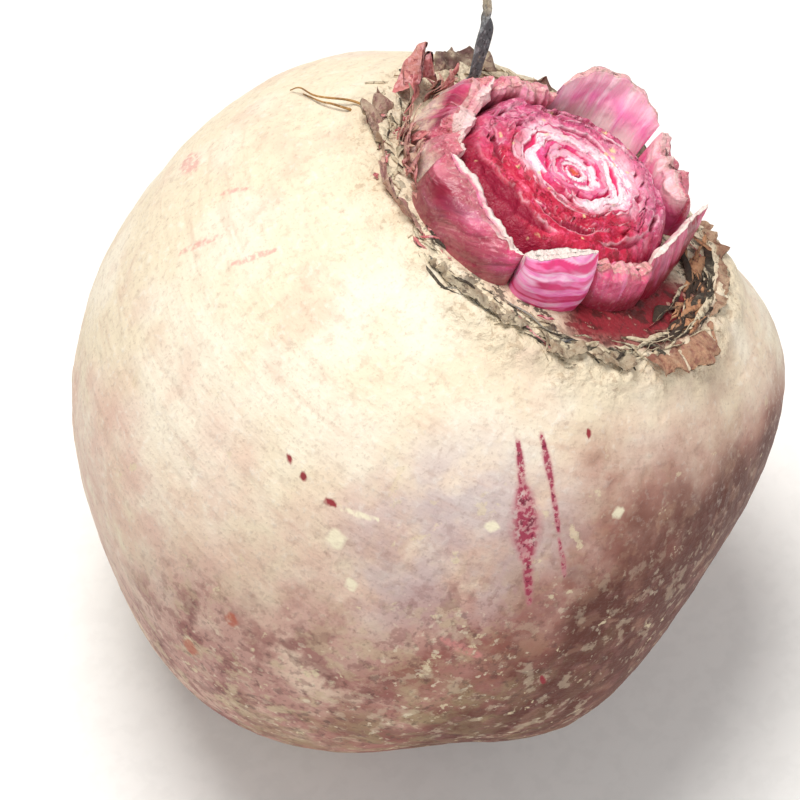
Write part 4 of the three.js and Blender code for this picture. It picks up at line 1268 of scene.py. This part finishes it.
class BEETROOT_OT_strands(bpy.types.Operator):
    """Dresses the dry fibres on the shoulder and the side roots, and adds hair roots at the tail"""

    bl_idname = "beetroot.strands"
    bl_label = "Fibres and rootlets"

    def execute(self, context):
        trim = context.scene.beetroot_trim
        radius = trim.strand / MM
        finish = dry_strand()
        for kind, piece_name, slot, routes in (
            ("crown_fibre", "dry_crown_fibre", "dry_leaf", CROWN_FIBRES),
            ("rootlet", "side_rootlet", "rootlet", ROOTLETS),
        ):
            for number, bends in enumerate(routes, 1):
                line = along_bends(bends, STRAND_ROWS)
                strand = strands_over_skin(line[None], radius * 0.8, 0.5)
                make_piece(f"{piece_name}_{number}", strand, finish, [f"{kind}_{number}"])
        self.add_hairs(trim.hairs, radius, finish)
        return {"FINISHED"}

    def add_hairs(self, count, radius, finish):
        """Hair roots that start near the tail and wander up the skin: two sines of other lengths
        turn each one left and right."""
        pick = np.random.default_rng(11)
        share = np.linspace(0, 1, HAIR_ROWS)[None, :]
        draw = lambda low, high: pick.uniform(low, high, (count, 1))
        start = draw(60, 135)
        polar = 172.5 - draw(4, 20) * share
        spread = 1 / np.maximum(0.12, np.sin(np.radians(polar)))
        sway = draw(-9, 9) * share + draw(1, 4) * np.sin(share * draw(4, 11) + draw(0, 6))
        lift = 0.15 + draw(0.2, 1.4) * np.sin(np.pi * share) ** 2
        lines = vectors(start + sway * spread * 0.3, polar, lift)
        points, faces = strands_over_skin(lines, 0.5 * radius, 0.6)
        make_piece("tail_hair_roots", (above_floor(points), faces), finish)


# The floor reaches this far to each side, in metres. The camera looks at a point this far from
# the middle of the root, which then stands a little below the middle of the picture.
FLOOR_REACH = 3.0
AIM_SHIFT = (-0.0005, 0.0014, 0.0008)


class BEETROOT_OT_stage(bpy.types.Operator):
    """Sets the pale floor, the soft lights and the camera that looks down on the crown"""

    bl_idname = "beetroot.stage"
    bl_label = "Stage"

    def execute(self, context):
        scene, stage = context.scene, context.scene.beetroot_stage
        low, high = (np.array(corner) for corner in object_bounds())
        middle = (low + high) / 2
        corners = np.array([(-1, -1, 0), (1, -1, 0), (1, 1, 0), (-1, 1, 0)]) * FLOOR_REACH
        mesh = bpy.data.meshes.new("floor")
        mesh.from_pydata(corners, [], [(0, 1, 2, 3)])
        mesh.materials.append(paper_floor(stage))
        floor = add_object("floor", mesh)
        floor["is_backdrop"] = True
        for name, place, size, power, colour in (
            ("key_light", (-0.12, 0.2, 0.96), 0.5, stage.key, (1.0, 0.985, 0.96)),
            ("fill_light", (0.35, -0.72, 0.6), 0.6, stage.fill, (0.98, 0.99, 1.0)),
        ):
            lamp = bpy.data.lights.new(name, "AREA")
            lamp.shape = "DISK"
            lamp.size, lamp.energy, lamp.color = size, power, colour
            self.aim(add_object(name, lamp), np.array(place), middle)
        world = bpy.data.worlds.new("studio")
        world.use_nodes = True
        sky = world.node_tree.nodes["Background"]
        sky.inputs["Color"].default_value = (1.0, 1.0, 1.0, 1.0)
        sky.inputs["Strength"].default_value = 0.42
        scene.world = world
        lens = bpy.data.cameras.new("camera")
        lens.lens, lens.sensor_width = 250, 36
        lens.clip_end = 20
        scene.camera = add_object("camera", lens)
        rise = stage.elevation
        target = MIDDLE * MM + np.array(AIM_SHIFT)
        place = target + stage.distance * np.array([0, -math.cos(rise), math.sin(rise)])
        self.aim(scene.camera, place, target)
        scene.view_settings.view_transform = "Standard"
        return {"FINISHED"}

    def aim(self, holder, place, target):
        """Puts a light or the camera at a place, looking at the target."""
        holder.location = place
        holder.rotation_euler = Vector(target - place).to_track_quat("-Z", "Y").to_euler()


class BEETROOT_PT_panel(bpy.types.Panel):
    """Lists the beetroot's pieces and their settings"""

    bl_idname = "BEETROOT_PT_panel"
    bl_label = "Beetroot"
    bl_space_type = "VIEW_3D"
    bl_region_type = "UI"
    bl_category = "Beetroot"

    def draw(self, context):
        for operator in OPERATORS:
            self.layout.operator(operator.bl_idname)
        for name in SETTINGS:
            group = getattr(context.scene, name)
            box = self.layout.box()
            for field in group.__annotations__:
                box.prop(group, field)


SETTINGS = {
    "beetroot_skin": BEETROOT_PG_skin,
    "beetroot_crown": BEETROOT_PG_crown,
    "beetroot_trim": BEETROOT_PG_trim,
    "beetroot_stage": BEETROOT_PG_stage,
}
OPERATORS = (
    BEETROOT_OT_root,
    BEETROOT_OT_heart,
    BEETROOT_OT_leaf_stalks,
    BEETROOT_OT_dry_leaf_bases,
    BEETROOT_OT_strands,
    BEETROOT_OT_stage,
)


def register():
    """Registers the classes and hangs the settings on the scene."""
    for each in (*SETTINGS.values(), *OPERATORS, BEETROOT_PT_panel):
        bpy.utils.register_class(each)
    for name, group in SETTINGS.items():
        setattr(bpy.types.Scene, name, PointerProperty(type=group))


def unregister():
    """Takes the settings off the scene and unregisters the classes."""
    for name in SETTINGS:
        delattr(bpy.types.Scene, name)
    for each in reversed((*SETTINGS.values(), *OPERATORS, BEETROOT_PT_panel)):
        bpy.utils.unregister_class(each)


def main():
    register()
    bpy.ops.beetroot.root()
    bpy.ops.beetroot.heart()
    bpy.ops.beetroot.leaf_stalks()
    bpy.ops.beetroot.dry_leaf_bases()
    bpy.ops.beetroot.strands()
    bpy.ops.beetroot.stage()


if __name__ == "__main__":
    main()
